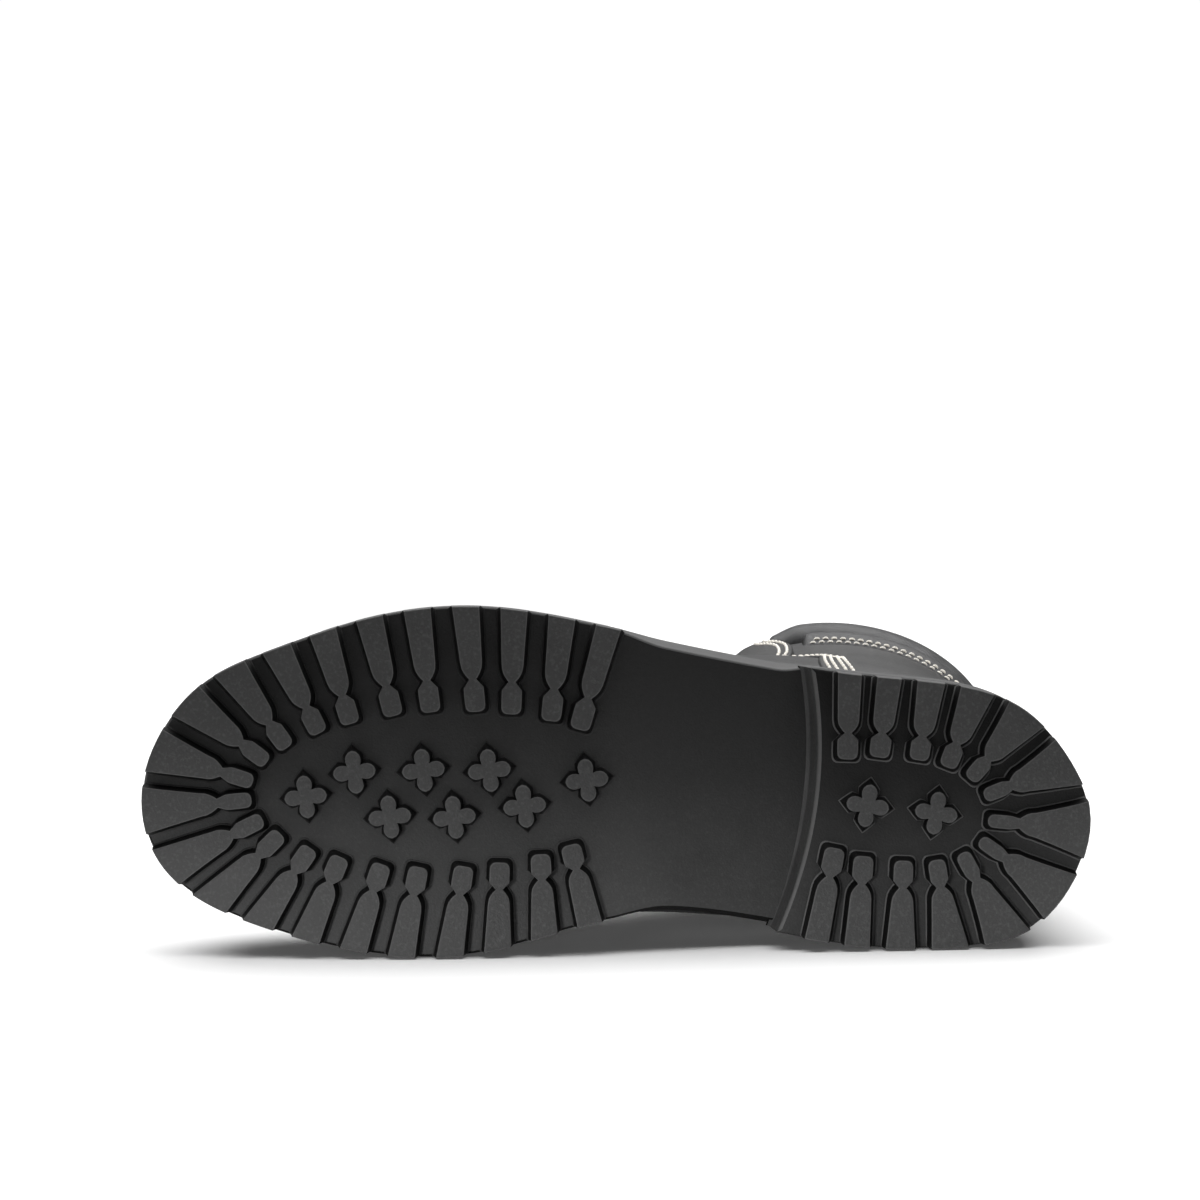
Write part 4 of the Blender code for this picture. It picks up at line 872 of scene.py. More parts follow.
# The easing over the heel: steps to a row, columns, rows averaged, rows over which it fades
# out, how many of those lengths from the heel's row it ends, share of the way in from the
# feather edge where it is full.
EASE_STEPS, EASE_COLUMNS, EASE_SPREAD = 16, 160, 0.45
EASE_FADE, EASE_ENDS, EASE_IN = 1.4, 1.8, 0.25
JUST_UNDER = 0.001        # keeps a place just under the last row or column
ease_u = np.arange(TONGUE_ROW * EASE_STEPS + 1) / EASE_STEPS
ease_across = np.linspace(-1, 1, EASE_COLUMNS + 1)
raw = section_surface(ease_u[:, None], ease_across)
spread = np.exp(-((ease_u[:, None] - ease_u) / EASE_SPREAD) ** 2)
smoothed = np.tensordot(spread / spread.sum(axis=1, keepdims=True), raw, 1)
near_heel = smooth_step(EASE_ENDS - np.abs(ease_u - HEEL_ROW) / EASE_FADE)[:, None]
inside = smooth_step((1 - np.abs(ease_across)) / EASE_IN)
EASE = (smoothed - raw) * (near_heel * inside)[..., None]


def last_surface(u, across):
    """The sections' surface, eased over the heel, where the planes go over from the sole to
    the back seam: it moves towards its own average over neighbouring rows."""
    u, across = np.broadcast_arrays(np.asarray(u, dtype=float), np.asarray(across, dtype=float))
    place_u = np.clip(u * EASE_STEPS, 0, TONGUE_ROW * EASE_STEPS - JUST_UNDER)
    place_across = np.clip((across + 1) / 2 * EASE_COLUMNS, 0, EASE_COLUMNS - JUST_UNDER)
    i, j = place_u.astype(int), place_across.astype(int)
    f, g = (place_u - i)[..., None], (place_across - j)[..., None]
    eased = ((EASE[i, j] * (1 - g) + EASE[i, j + 1] * g) * (1 - f)
             + (EASE[i + 1, j] * (1 - g) + EASE[i + 1, j + 1] * g) * f)
    return section_surface(u, across) + eased


def outward(u, across):
    """Unit normal of the last's surface, pointing out of the boot."""
    small = 1e-3
    along = last_surface(u + small, across) - last_surface(u - small, across)
    over = last_surface(u, across - small) - last_surface(u, across + small)
    return unit(np.cross(along, over))


def crease_depth(u, across):
    """How far the creases sink the leather: for each a Gaussian trough along its line,
    fading out at both ends."""
    depth = np.zeros(np.broadcast(u, across).shape)
    for row, bend, start, stop, deep, width in CREASES:
        away = (u - row - bend * np.abs(across)) * ROW_MM / width
        share = (across - start) / (stop - start)
        depth += (deep * np.exp(-away ** 2) * smooth_step(share * CREASE_FADE)
                  * smooth_step((1 - share) * CREASE_FADE))
    return depth


def on_leather(u, across, height=0.0):
    """Points at a height over the leather's outer face, creases included."""
    u, across = np.broadcast_arrays(np.asarray(u, dtype=float), np.asarray(across, dtype=float))
    lift = np.asarray(height) - crease_depth(u, across)
    return last_surface(u, across) + outward(u, across) * lift[..., None]


def throat_half(u):
    """Half the throat's width at u."""
    share = np.clip((np.asarray(u, dtype=float) - THROAT_ROW) / (TOP_ROW - THROAT_ROW), 0, 1)
    return THROAT_HALF[0] + (THROAT_HALF[1] - THROAT_HALF[0]) * share


def crown_across(u, half, lateral, limit=0.999):
    """Across value at a side distance from the crown line, at most a share of the reach."""
    at = section(u)
    share = np.minimum(half / np.maximum(np.abs(half_reach(at, lateral)), TINY), limit)
    high = np.arccos(share ** (at["fullness"] / 2))
    q = WIDEST_AT + (1 - WIDEST_AT) * high / (np.pi / 2)
    return np.where(lateral, 1 - q, q - 1)


def grid_rows(vamp, quarter, shaft):
    """u of the grid's rows: so many on the vamp, on the quarter, and to each row of the table
    above the sole. On the sole their feet are spaced as the cosines of equal angles between
    three stations, toe tip, throat row and heel back."""
    fine = np.linspace(HEEL_ROW, 0, ROW_SAMPLES)
    foot = section(fine)["foot"]
    heel, toe = foot[0], foot[-1]
    turn = np.arccos(1 - 2 * (section(THROAT_ROW)["foot"] - heel) / (toe - heel))
    angles = np.concatenate((np.linspace(np.pi, turn, vamp + 1),
                             np.linspace(turn, 0, quarter + 1)[1:]))
    on_sole = np.interp(heel + (toe - heel) * (1 - np.cos(angles)) / 2, foot, fine)
    on_sole[[0, vamp, -1]] = 0, THROAT_ROW, HEEL_ROW
    above = HEEL_ROW + np.arange(1, (TOP_ROW - HEEL_ROW) * shaft + 1) / shaft
    return np.concatenate((on_sole, above))


GRID_ROWS = 64, 66, 9
ROW_SAMPLES = 4001
LOW_COLUMNS, HIGH_COLUMNS, CROWN_COLUMNS = 12, 20, 6
FACING_SHARE = 0.4        # of the high columns, where the facing ends and the collar starts
EDGE_LIMIT = 0.4          # the edge column's largest share of the reach, where that is short
rows_u = grid_rows(*GRID_ROWS)
sides = []
for lateral in (True, False):
    sign = 1 if lateral else -1
    low = sign * (1 - WIDEST_AT * np.arange(LOW_COLUMNS + 1) / LOW_COLUMNS)
    edge = crown_across(rows_u, throat_half(rows_u), lateral, limit=EDGE_LIMIT)
    high = low[-1] + (edge[:, None] - low[-1]) * np.arange(1, HIGH_COLUMNS + 1) / HIGH_COLUMNS
    crown = edge[:, None] * (1 - np.arange(1, CROWN_COLUMNS) / CROWN_COLUMNS)
    sides.append(np.concatenate((np.broadcast_to(low, (len(rows_u), len(low))), high, crown),
                                axis=1))
across = np.concatenate((sides[0], np.zeros((len(rows_u), 1)), sides[1][:, ::-1]), axis=1)
shell = on_leather(rows_u[:, None], across)
foot = shell[:, [0, -1]] - (0.0, 0.0, WELT_THICKNESS)
shell = np.concatenate((foot[:, :1], shell, foot[:, 1:]), axis=1)
rows, columns = shell.shape[:2]
row_u = (rows_u[:-1, None] + rows_u[1:, None]) / 2
column = np.arange(columns - 1)
from_crown = np.abs(column - (columns - 2) / 2)
on_crown = from_crown < CROWN_COLUMNS
keep = ~((row_u > THROAT_ROW) & on_crown)
keep &= ~((row_u > HEEL_ROW) & ((column == 0) | (column == columns - 2)))
behind_facing = from_crown > CROWN_COLUMNS + (1 - FACING_SHARE) * HIGH_COLUMNS
keep &= ~((row_u > COLLAR_ROW + 0.5) & behind_facing)
quads = grid_quads(rows, columns).reshape(rows - 1, columns - 1, 4)[keep]


def leather_look(name, dark, light, grain_mm, rough, depth):
    """Oiled full-grain leather: pebbled grain of cells with finer wrinkles between them,
    clouded dye and slightly uneven gloss. Returns the material."""
    look, shader = new_look(name, IOR=1.5, Specular_IOR_Level=0.5)
    place = add_node(look, "TexCoord").outputs["Object"]
    warp = add_node(look, "TexNoise", Vector=place, Scale=250.0, Detail=3.0).outputs["Color"]
    moved = add_node(look, "VectorMath", {"operation": "MULTIPLY_ADD"}, Vector=warp,
                     Vector_001=(0.0006, 0.0006, 0.0006), Vector_002=place)
    pebbles = add_node(look, "TexVoronoi", {"feature": "DISTANCE_TO_EDGE"}, Vector=moved,
                       Scale=1000.0 / grain_mm)
    valleys = add_node(look, "MapRange", Value=pebbles.outputs["Distance"], From_Max=0.12)
    fine = add_node(look, "TexNoise", Vector=place, Scale=1500.0, Detail=4.0)
    relief = add_node(look, "Math", {"operation": "MULTIPLY_ADD"}, Value=fine, Value_001=0.35,
                      Value_002=valleys)
    cloud = add_node(look, "TexNoise", Vector=place, Scale=38.0, Detail=5.0)
    dye = add_node(look, "ValToRGB", {"stops": ((0.3, dark), (0.7, light))}, Fac=cloud)
    gloss = add_node(look, "MapRange", Value=cloud, From_Min=0.3, From_Max=0.7,
                     To_Min=rough - 0.06, To_Max=rough + 0.06)
    connect(look, shader, Base_Color=dye, Roughness=gloss,
            Normal=add_node(look, "Bump", Height=relief, Strength=depth, Distance=0.00025))
    return look


# Oiled full-grain cowhide, drum-dyed black: a fine pebble of about 0.9 mm, soft gloss.
leather = leather_look("oiled black cowhide", "#222222", "#2d2d2d", 0.9, 0.46, 0.5)
# Woven nylon lining: dark grey, dull, with a thread about every 0.7 mm.
lining, shader = new_look("dark woven lining", Roughness=0.9, Sheen_Weight=0.2)
place = add_node(lining, "TexCoord").outputs["Object"]
weave = add_node(lining, "TexVoronoi", Vector=place, Scale=1400.0)
shade = add_node(lining, "ValToRGB", {"stops": ((0.0, "#4a4a4c"), (0.8, "#262628"))}, Fac=weave)
connect(lining, shader, Base_Color=shade,
        Normal=add_node(lining, "Bump", Height=weave, Strength=0.5, Distance=0.0003))
upper = make_piece("upper_vamp", [(shell.reshape(-1, 3), quads, [])], [leather, lining],
                   sheet=True)
wall = upper.modifiers.new("wall", "SOLIDIFY")
wall.thickness, wall.offset, wall.material_offset = WALL * MM, -1.0, 1
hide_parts("upper")


# ================================================================ quarters
# Two quarters of the same cowhide, laid over the vamp and sewn down along their front edge
# with four rows of off-white thread, from the throat's foot back over the instep and down.

QUARTER_THICKNESS = 1.0
BURIED = -0.5             # underside of a panel, inside the leather below it
EDGE_ROUND = 0.7          # how far in from its cut edge a panel reaches its thickness
SEAM_AT_THROAT = 6.15
# Front edge of a quarter. Columns: share of the way from the throat to the welt, row.
SEAM = ((0.0, SEAM_AT_THROAT), (0.08, 7.3), (0.16, 8.25), (0.25, 9.1), (0.34, 9.62),
        (0.43, 9.78), (0.52, 9.42), (0.61, 8.95), (0.72, 8.62), (0.86, 8.38), (1.0, 8.2))
SEAM_ROWS = (2.0, 4.1, 6.6, 8.7)          # stitch rows behind the front edge
SEAM_STITCH = 3.3, 2.6, 1.15              # pitch, length and width
SEAM_START, SEAM_STOP = 0.03, 0.995       # shares of the seam between which it is sewn
SEAM_POINTS, ALONG_POINTS = 400, 60       # of the seam's line, and of the lines behind it
QUARTER_GRID = (110, 150.0), (70, 110.0)  # lines along it and beside, each with their mm
BOTH_SIDES = ("lateral", True), ("medial", False)
NEAR_EDGE = np.array((0.0, 0.05, 0.2, 0.45, 0.75, 1.5))     # mm in from a cut edge


def edged(count, length):
    """Shares from 0 to 1 with lines close to both ends, so many mm apart in all."""
    near = NEAR_EDGE / length
    return np.concatenate((near, np.linspace(near[-1], 1 - near[-1], count)[1:-1],
                           1 - near[::-1]))


def quarter_round(t):
    """Quarter circle, upright at 0 and level from 1 on."""
    return np.sqrt(1 - (1 - np.minimum(t, 1)) ** 2)


def panel(u, across, low, thickness, free):
    """Leather panel over the surface, from height low to low + thickness. At its free
    borders (first row, last row, first column, last column) the edge is a quarter circle."""
    flat = on_leather(u, across, low)
    full = 1.0
    for axis, (first, last) in enumerate((free[:2], free[2:])):
        length = lengths_from(flat, axis)
        whole = length[-1:] if axis == 0 else length[:, -1:]
        for wanted, distance in ((first, length), (last, whole - length)):
            if wanted:
                full = full * quarter_round(distance / EDGE_ROUND)
    top = on_leather(u, across, low + BURIED + (thickness - BURIED) * full)
    return closed_sheet(top, on_leather(u, across, BURIED))


def quarter_grid(lateral, along, beside):
    """u and across over a quarter: along runs from its front seam to the collar seam, beside
    from the throat's edge to the welt and the back seam."""
    seam = through_rows(*np.transpose(SEAM), beside)
    u = seam + (COLLAR_ROW - seam) * along
    edge = crown_across(u, throat_half(u), lateral)
    return u, edge + ((1 if lateral else -1) - edge) * beside


def thread_row(u, across, height, shift=0.0, sizes=SEAM_STITCH):
    """Stitches along a line on the leather."""
    return stitch_bodies(on_leather(u, across, height), outward(u, across), sizes, shift)


# Bonded polyester thread, undyed off-white, three plies twisted: bright, slightly satin.
thread, shader = new_look("off-white bonded thread", Roughness=0.6, Sheen_Weight=0.2)
place = add_node(thread, "TexCoord").outputs["Object"]
ply = add_node(thread, "TexNoise", Vector=place, Scale=2200.0, Detail=1.0)
shade = add_node(thread, "ValToRGB", {"stops": ((0.25, "#e2dcd2"), (0.6, "#fffaf0"))}, Fac=ply)
connect(thread, shader, Base_Color=shade,
        Normal=add_node(thread, "Bump", Height=ply, Strength=0.5, Distance=0.0002))
rows_along, columns_beside = (edged(*lines) for lines in QUARTER_GRID)
for name, lateral in BOTH_SIDES:
    u, across = quarter_grid(lateral, rows_along[:, None], columns_beside)
    quarter = make_piece(f"quarter_{name}", [panel(u, across, 0.0, QUARTER_THICKNESS,
                                                   (True, False, True, False))], [leather])
    line = np.linspace(SEAM_START, SEAM_STOP, SEAM_POINTS)
    along = np.linspace(0, 1, ALONG_POINTS)[:, None]
    whole = lengths_from(on_leather(*quarter_grid(lateral, along, line)))[-1]
    bodies = []
    for k, distance in enumerate(SEAM_ROWS):
        bodies += thread_row(*quarter_grid(lateral, distance / whole, line), QUARTER_THICKNESS,
                             0.5 * (k % 2))
    stitches = make_piece(f"seam_stitches_{name}", bodies, [thread])


# ================================================================ facings
# Eyelet facings: a second layer of cowhide along each side of the throat, from its foot to
# the top of the shaft, wider under the collar, where its lower back corner is rounded. Two
# rows of stitches run behind the eyelets and one before them.

FACING_THICKNESS = 1.1
# Widest under the collar, with a rounded lower back corner. Columns: row, mm.
FACING_WIDTH = ((6.2, 22.0), (9.0, 24.0), (11.9, 26.0), (12.4, 31.0), (12.8, 39.0),
                (13.2, 44.5), (13.6, 46.0), (14.1, 44.5), (15.0, 36.0), (16.0, 33.2))
FACING_CORNER = 7.0
FACING_ROWS = (2.2, 5.2)
FACING_PAD = 2.0          # how far the collar's padding lifts its back edge near the top
PAD_ROW, PAD_ROWS = 13.2, 1.6            # row where that starts, and rows until it is full
PAD_IN, PAD_OVER = 13.0, 12.0            # the same in mm from the throat's edge
THROAT_ROW_IN = 2.4
FACING_FOOT = SEAM_AT_THROAT + 0.1
FACING_MIDDLE = 10.0      # mm from the throat's edge, where its length is measured
FACING_GRID = (110, 150.0), (14, 28.0)
ACROSS_POINTS = 90        # of a line over the leather, from the throat's edge to the foot


def from_throat(u, distance, lateral):
    """across at so many mm from the throat's edge, along the leather at row u."""
    edge = crown_across(u, throat_half(u), lateral)
    share = np.linspace(0, 1, ACROSS_POINTS)
    line = edge[:, None] * (1 + share * (1 / np.abs(edge[:, None]) - 1))
    length = lengths_from(on_leather(u[:, None], line), 1)
    return np.stack([np.interp(d, own, values) for d, own, values in zip(distance, length, line)])


def pad_lift(u, distance):
    """How far the padding lifts the facing at row u, so many mm from the throat's edge."""
    return (FACING_PAD * smooth_step((u - PAD_ROW) / PAD_ROWS)
            * smooth_step((distance - PAD_IN) / PAD_OVER))


facing_u = FACING_FOOT + (TOP_ROW - FACING_FOOT) * edged(*FACING_GRID[0])
for name, lateral in BOTH_SIDES:
    width = through_rows(*np.transpose(FACING_WIDTH), facing_u)
    to_top = lengths_from(on_leather(facing_u, crown_across(
        facing_u, throat_half(facing_u) + FACING_MIDDLE, lateral)))
    for end in (to_top, to_top[-1] - to_top):
        width = width - FACING_CORNER * (1 - quarter_round(end / FACING_CORNER))
    beside = edged(*FACING_GRID[1])
    across = from_throat(facing_u, width[:, None] * beside, lateral)
    u = np.broadcast_to(facing_u[:, None], across.shape)
    lift = QUARTER_THICKNESS + pad_lift(u, width[:, None] * beside)
    facing = make_piece(f"facing_{name}", [panel(u, across, lift, FACING_THICKNESS,
                                                 (True, True, True, True))], [leather])
    bodies = []
    top = QUARTER_THICKNESS + FACING_THICKNESS
    inside = (to_top > THROAT_ROW_IN) & (to_top < to_top[-1] - THROAT_ROW_IN)
    for k, distance in enumerate(FACING_ROWS):
        line = from_throat(facing_u, width[:, None] - distance, lateral)[:, 0]
        over = top + pad_lift(facing_u, width - distance)
        bodies += thread_row(facing_u[inside], line[inside], over[inside], 0.5 * k)
    line = from_throat(facing_u, np.full((len(facing_u), 1), THROAT_ROW_IN), lateral)[:, 0]
    bodies += thread_row(facing_u[inside], line[inside], top)
    stitches = make_piece(f"facing_stitches_{name}", bodies, [thread])


# ================================================================ backstay
# Strap of cowhide over the back seam from the welt to the collar, wider at the counter, with
# two rows of stitches along each side.

BACKSTAY_THICKNESS = 1.1
# Half its width. Columns: height, mm.
BACKSTAY_HALF = ((38.0, 17.0), (80.0, 13.0), (130.0, 11.5), (176.0, 13.0))
BACKSTAY_ROWS = (1.9, 4.3)
BACKSTAY_FOOT, BACKSTAY_TOP = feather_z(SECTIONS[HEEL_ROW][1]) + 0.4, 174.0
BACKSTAY_GRID = (70, 136.0), (22, 28.0)
LEVEL_ROWS = np.linspace(7.5, COLLAR_ROW + 0.4, 500)     # the part of the boot it lies on
LEVEL_COLUMNS = np.linspace(1.0, 0.45, 45)


def level_line(height, girth, lateral):
    """u and across at heights (rows) and distances round from the back seam (columns), on
    the lateral or medial side of the heel."""
    sign = 1 if lateral else -1
    z = last_surface(LEVEL_ROWS[:, None], sign * LEVEL_COLUMNS)[..., 2]
    rows = np.stack([np.interp(height, column, LEVEL_ROWS) for column in z.T], 1)
    length = lengths_from(last_surface(rows, sign * LEVEL_COLUMNS), 1)
    u = np.stack([np.interp(g, own, row) for g, own, row in zip(girth, length, rows)])
    across = np.stack([np.interp(g, own, LEVEL_COLUMNS) for g, own in zip(girth, length)])
    return u, sign * across


height = BACKSTAY_FOOT + (BACKSTAY_TOP - BACKSTAY_FOOT) * edged(*BACKSTAY_GRID[0])
half = through_rows(*np.transpose(BACKSTAY_HALF), height)
beside = edged(*BACKSTAY_GRID[1])
girth = half[:, None] * np.abs(2 * beside - 1)
on_lateral = level_line(height, girth, True)
on_medial = level_line(height, girth, False)
is_lateral = beside < 0.5
u, across = (np.where(is_lateral, a, b) for a, b in zip(on_lateral, on_medial))
backstay = make_piece("backstay", [panel(u, across, QUARTER_THICKNESS, BACKSTAY_THICKNESS,
                                         (False, False, True, True))], [leather])
bodies = []
for _, lateral in BOTH_SIDES:
    for k, distance in enumerate(BACKSTAY_ROWS):
        u, across = level_line(height[2:-1], half[2:-1, None] - distance, lateral)
        bodies += thread_row(u[:, 0], across[:, 0], QUARTER_THICKNESS + BACKSTAY_THICKNESS,
                             0.5 * k)
backstay_stitches = make_piece("backstay_stitches", bodies, [thread])


# ================================================================ collar
# Padded collar of soft leather over foam: a full roll from facing to facing, a narrow second
# roll below it, and two staggered rows of off-white thread that hold it to the quarters.

COLLAR_OUT_LATERAL, COLLAR_OUT_MEDIAL, COLLAR_IN = 7.3, 6.3, 4.0    # bulge off the wall, mm
COLLAR_CLEAR = 0.006      # left free at its foot, in rows, and at its ends, in across
COLLAR_ROUNDING = 0.8     # below 1 the roll's section is squarer than an ellipse
COLLAR_END = 0.66         # how full it still is at its ends
COLLAR_TAPER, COLLAR_TIP = 0.14, 3.0     # share of a side, and mm, over which it closes
TO_MEDIAL = 0.4, 0.2      # share of the way round where the bulge changes, and over which
COLLAR_RINGS, COLLAR_POINTS = 110, 48    # rings on each side, points round a ring
NORMAL_BLUR = 3.0         # rings over which the roll's direction is averaged
TIP_LEAST, TIP_DROP = 0.02, 0.06         # smallest share of the tip, how much lower it gets
# The puckers along its foot: depth, pitch, how far their phase wanders and over how many mm,
# place and reach as shares of the roll's height.
PUCKER, PUCKER_PITCH, PUCKER_WANDER, WANDER_MM = 0.22, 9.5, 1.7, 21.0
PUCKER_AT, PUCKER_REACH = 0.10, 0.16
# Section of the second roll. Columns: mm under the collar's foot, mm over the leather.
SECOND_ROLL = ((12.5, 0.6), (12.3, 1.1), (11.2, 1.6), (9.6, 2.5), (8.4, 3.2), (7.2, 3.75),
               (5.5, 4.3), (3.5, 4.5), (1.8, 4.3), (0.6, 3.6), (-0.3, 2.4), (-0.8, 0.6),
               (-0.8, BURIED), (5.8, BURIED), (12.5, BURIED), (12.5, 0.6))
SECOND_ROLL_SHARE = 0.19  # where it ends behind the facing, as a share like FACING_SHARE
COLLAR_THREADS = ((10.9, 1.62), (9.2, 2.7))          # mm under the foot, mm over the leather
COLLAR_STITCH = 3.25, 2.4, 1.1


def collar_path(rows, share=FACING_SHARE):
    """across at each of some rows along the collar, from the lateral facing round the back
    seam to the medial one. share says how far forward it reaches."""
    sides = []
    for lateral, sign in ((True, 1), (False, -1)):
        edge = crown_across(rows, throat_half(rows), lateral)
        start = sign * (1 - WIDEST_AT)
        end = start + (edge - start) * share + sign * COLLAR_CLEAR
        sides.append(end + (sign - end) * np.linspace(0, 1, COLLAR_RINGS)[:, None])
    return np.concatenate((sides[0], sides[1][::-1]))


def below_collar(distance, path):
    """u at so many mm under the collar's foot, at each across value of its path."""
    small = 0.1
    near = last_surface(COLLAR_ROW - small, path) - last_surface(COLLAR_ROW + small, path)
    return COLLAR_ROW - distance / (np.linalg.norm(near, axis=-1) / (2 * small))


path = collar_path(np.array((COLLAR_ROW, TOP_ROW), dtype=float))
foot = last_surface(COLLAR_ROW + COLLAR_CLEAR, path[:, 0])
top = last_surface(TOP_ROW, path[:, 1])
order = np.arange(len(path))
blur = np.exp(-(np.subtract.outer(order, order) / NORMAL_BLUR) ** 2)
normal = unit(blur @ outward((COLLAR_ROW + TOP_ROW) / 2, path.mean(axis=1)))
run = lengths_from((foot + top) / 2)
from_end = np.minimum(run, run[-1] - run)
fill = COLLAR_END + (1 - COLLAR_END) * smooth_step(from_end / run[-1] * 2 / COLLAR_TAPER)
tip = quarter_round(np.maximum(from_end / COLLAR_TIP, TIP_LEAST))
angle = np.linspace(0, 2 * np.pi, COLLAR_POINTS + 1)
height = 0.5 + (0.5 * signed_power(np.cos(angle), COLLAR_ROUNDING)
                * (1 - TIP_DROP * (1 - tip[:, None])))
depth = signed_power(np.sin(angle), COLLAR_ROUNDING)
to_medial = smooth_step((run / run[-1] - TO_MEDIAL[0]) / TO_MEDIAL[1])[:, None]
proud = COLLAR_OUT_LATERAL + (COLLAR_OUT_MEDIAL - COLLAR_OUT_LATERAL) * to_medial
bulge = np.where(depth > 0, proud, COLLAR_IN) * fill[:, None] + WALL / 2
phase = 2 * np.pi * run / PUCKER_PITCH + PUCKER_WANDER * np.sin(run / WANDER_MM)
bulge = bulge + (PUCKER * np.sin(phase)[:, None]
                 * np.exp(-((height - PUCKER_AT) / PUCKER_REACH) ** 2))
middle = foot[:, None] + (top - foot)[:, None] * height[..., None]
grid = middle + (depth * bulge * tip[:, None] - WALL / 2)[..., None] * normal[:, None]
# Garment-weight leather over foam: softer, finer grain and a lower gloss than the quarters.
soft_leather = leather_look("soft black collar leather", "#2b2b2c", "#363637", 0.7, 0.5, 0.4)
collar = make_piece("collar_padding", [swept(grid)], [soft_leather])
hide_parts("collar")

path = collar_path(np.array((COLLAR_ROW,), dtype=float), SECOND_ROLL_SHARE)[:, 0]
run = lengths_from(last_surface(COLLAR_ROW, path))
from_end = np.minimum(run, run[-1] - run)
end = quarter_round(np.maximum(from_end / COLLAR_TIP, TIP_LEAST))[:, None]
down, lift = np.transpose(SECOND_ROLL)
lift = np.where(lift > 0, BURIED + (lift - BURIED) * end, BURIED)
u = np.stack([below_collar(value, path) for value in down], 1)
grid = on_leather(u, path[:, None], lift)
second_roll = make_piece("collar_second_roll", [swept(grid)], [soft_leather])
bodies = []
for k, (distance, over) in enumerate(COLLAR_THREADS):
    bodies += thread_row(below_collar(distance, path)[2:-2], path[2:-2], over, 0.5 * k,
                         COLLAR_STITCH)
collar_stitches = make_piece("collar_stitches", bodies, [thread])


# ================================================================ tongue
# Padded tongue of the soft leather, thin under the facings and fuller in the throat, turned
# in round its edge and topstitched in black. It stands a little over the top.

TONGUE_HALF, TONGUE_TUCK = 32.0, 0.7
TONGUE_IN, TONGUE_UNDER = -7.2, -4.6     # its two faces under the facings, over the leather
TONGUE_RISE = 2.0         # how much fuller it is where it is free
TONGUE_EDGE = 3.5
FREE_SIDE, FREE_SIDE_OVER = 2.0, 8.0     # mm beyond the throat's edge where that ends, fade
FREE_TOP, FREE_TOP_OVER = 0.1, 0.4       # rows under the top where it starts, fade
FOLD, FOLD_MM, FOLD_BEND, BEND_MM = 0.35, 4.6, 0.8, 9.0   # depth and waves of its folds
TONGUE_STITCH_IN, TONGUE_STITCH_UP = 4.5, 0.5    # mm in from its edge, rows over the throat's foot
TONGUE_STITCH = 3.0, 2.4, 0.8
TONGUE_GRID, TONGUE_COLUMNS = (120, 160.0), 81
UP_POINTS, OVER_POINTS = 120, 60         # of the stitched line, up a side and over the top


def tongue_free(u, side):
    """1 where the tongue is free, in the throat and over the top, and 0 under the facings."""
    return np.maximum(smooth_step((throat_half(u) + FREE_SIDE - np.abs(side)) / FREE_SIDE_OVER),
                      smooth_step((u - TOP_ROW + FREE_TOP) / FREE_TOP_OVER))


def on_last(u, across, height):
    """Points at a height over the last's surface, without the leather's creases."""
    return last_surface(u, across) + outward(u, across) * np.asarray(height)[..., None]


tongue_foot = THROAT_ROW - TONGUE_TUCK
tongue_u = tongue_foot + (TONGUE_ROW - tongue_foot) * edged(*TONGUE_GRID)
side = TONGUE_HALF * np.linspace(1, -1, TONGUE_COLUMNS)
across = crown_across(tongue_u[:, None], np.abs(side), side >= 0)
u = np.broadcast_to(tongue_u[:, None], across.shape)
flat = last_surface(u, across)
beside, along = lengths_from(flat, 1), lengths_from(flat, 0)
from_rim = np.minimum(np.minimum(beside, beside[:, -1:] - beside), along[-1:] - along)
full = quarter_round(from_rim / TONGUE_EDGE)
free = tongue_free(u, side)
folds = FOLD * np.sin(along / FOLD_MM + FOLD_BEND * np.sin(beside / BEND_MM)) * free
outer = TONGUE_UNDER + TONGUE_RISE * free + folds
middle = (TONGUE_UNDER + TONGUE_IN) / 2
tongue = make_piece("tongue_padding", [closed_sheet(
    on_last(u, across, middle + (outer - middle) * full),
    on_last(u, across, middle + (TONGUE_IN - middle) * full))], [soft_leather])
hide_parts("tongue")
centre = along[:, TONGUE_COLUMNS // 2]
rim_u = np.interp(centre[-1] - TONGUE_STITCH_IN, centre, tongue_u)
share = (TONGUE_HALF - TONGUE_STITCH_IN) / TONGUE_HALF
up = np.linspace(THROAT_ROW + TONGUE_STITCH_UP, rim_u, UP_POINTS)
row_u = np.concatenate((up, np.full(OVER_POINTS, rim_u), up[::-1]))
row_side = TONGUE_HALF * np.concatenate((np.full(UP_POINTS, share),
                                         np.linspace(share, -share, OVER_POINTS),
                                         np.full(UP_POINTS, -share)))
row_across = crown_across(row_u, np.abs(row_side), row_side >= 0)
row_height = TONGUE_UNDER + TONGUE_RISE * tongue_free(row_u, row_side)
tongue_stitches = make_piece("tongue_stitches", stitch_bodies(
    on_last(row_u, row_across, row_height), outward(row_u, row_across), TONGUE_STITCH),
    [black_thread])


# ================================================================ eyelets
# Seven pairs of turned brass eyelets, black enamelled, set through the facings at even steps.
# Each is a rolled ring over a barrel, with its hole closed by a near-black plug, painted shadow.

EYELET_PAIRS, EYELET_FROM_EDGE, EYELET_FROM_END = 7, 11.0, 11.0
FACING_TOP = QUARTER_THICKNESS + FACING_THICKNESS
# Section of an eyelet. Columns: radius, height over the facing.
EYELET_PROFILE = (
    (2.5, -1.5), (2.5, 0.45), (2.62, 0.95), (2.95, 1.3), (3.45, 1.42), (4.0, 1.3), (4.45, 0.95),
    (4.75, 0.45), (4.8, 0.0), (4.8, -0.3), (3.2, -0.3), (3.2, -1.5), (2.5, -1.5),
)
HOLE_PROFILE = ((2.6, -1.2), (2.6, 0.3))
EYELET_SIDES, HOLE_SIDES, EYELET_SAMPLES = 24, 16, 400


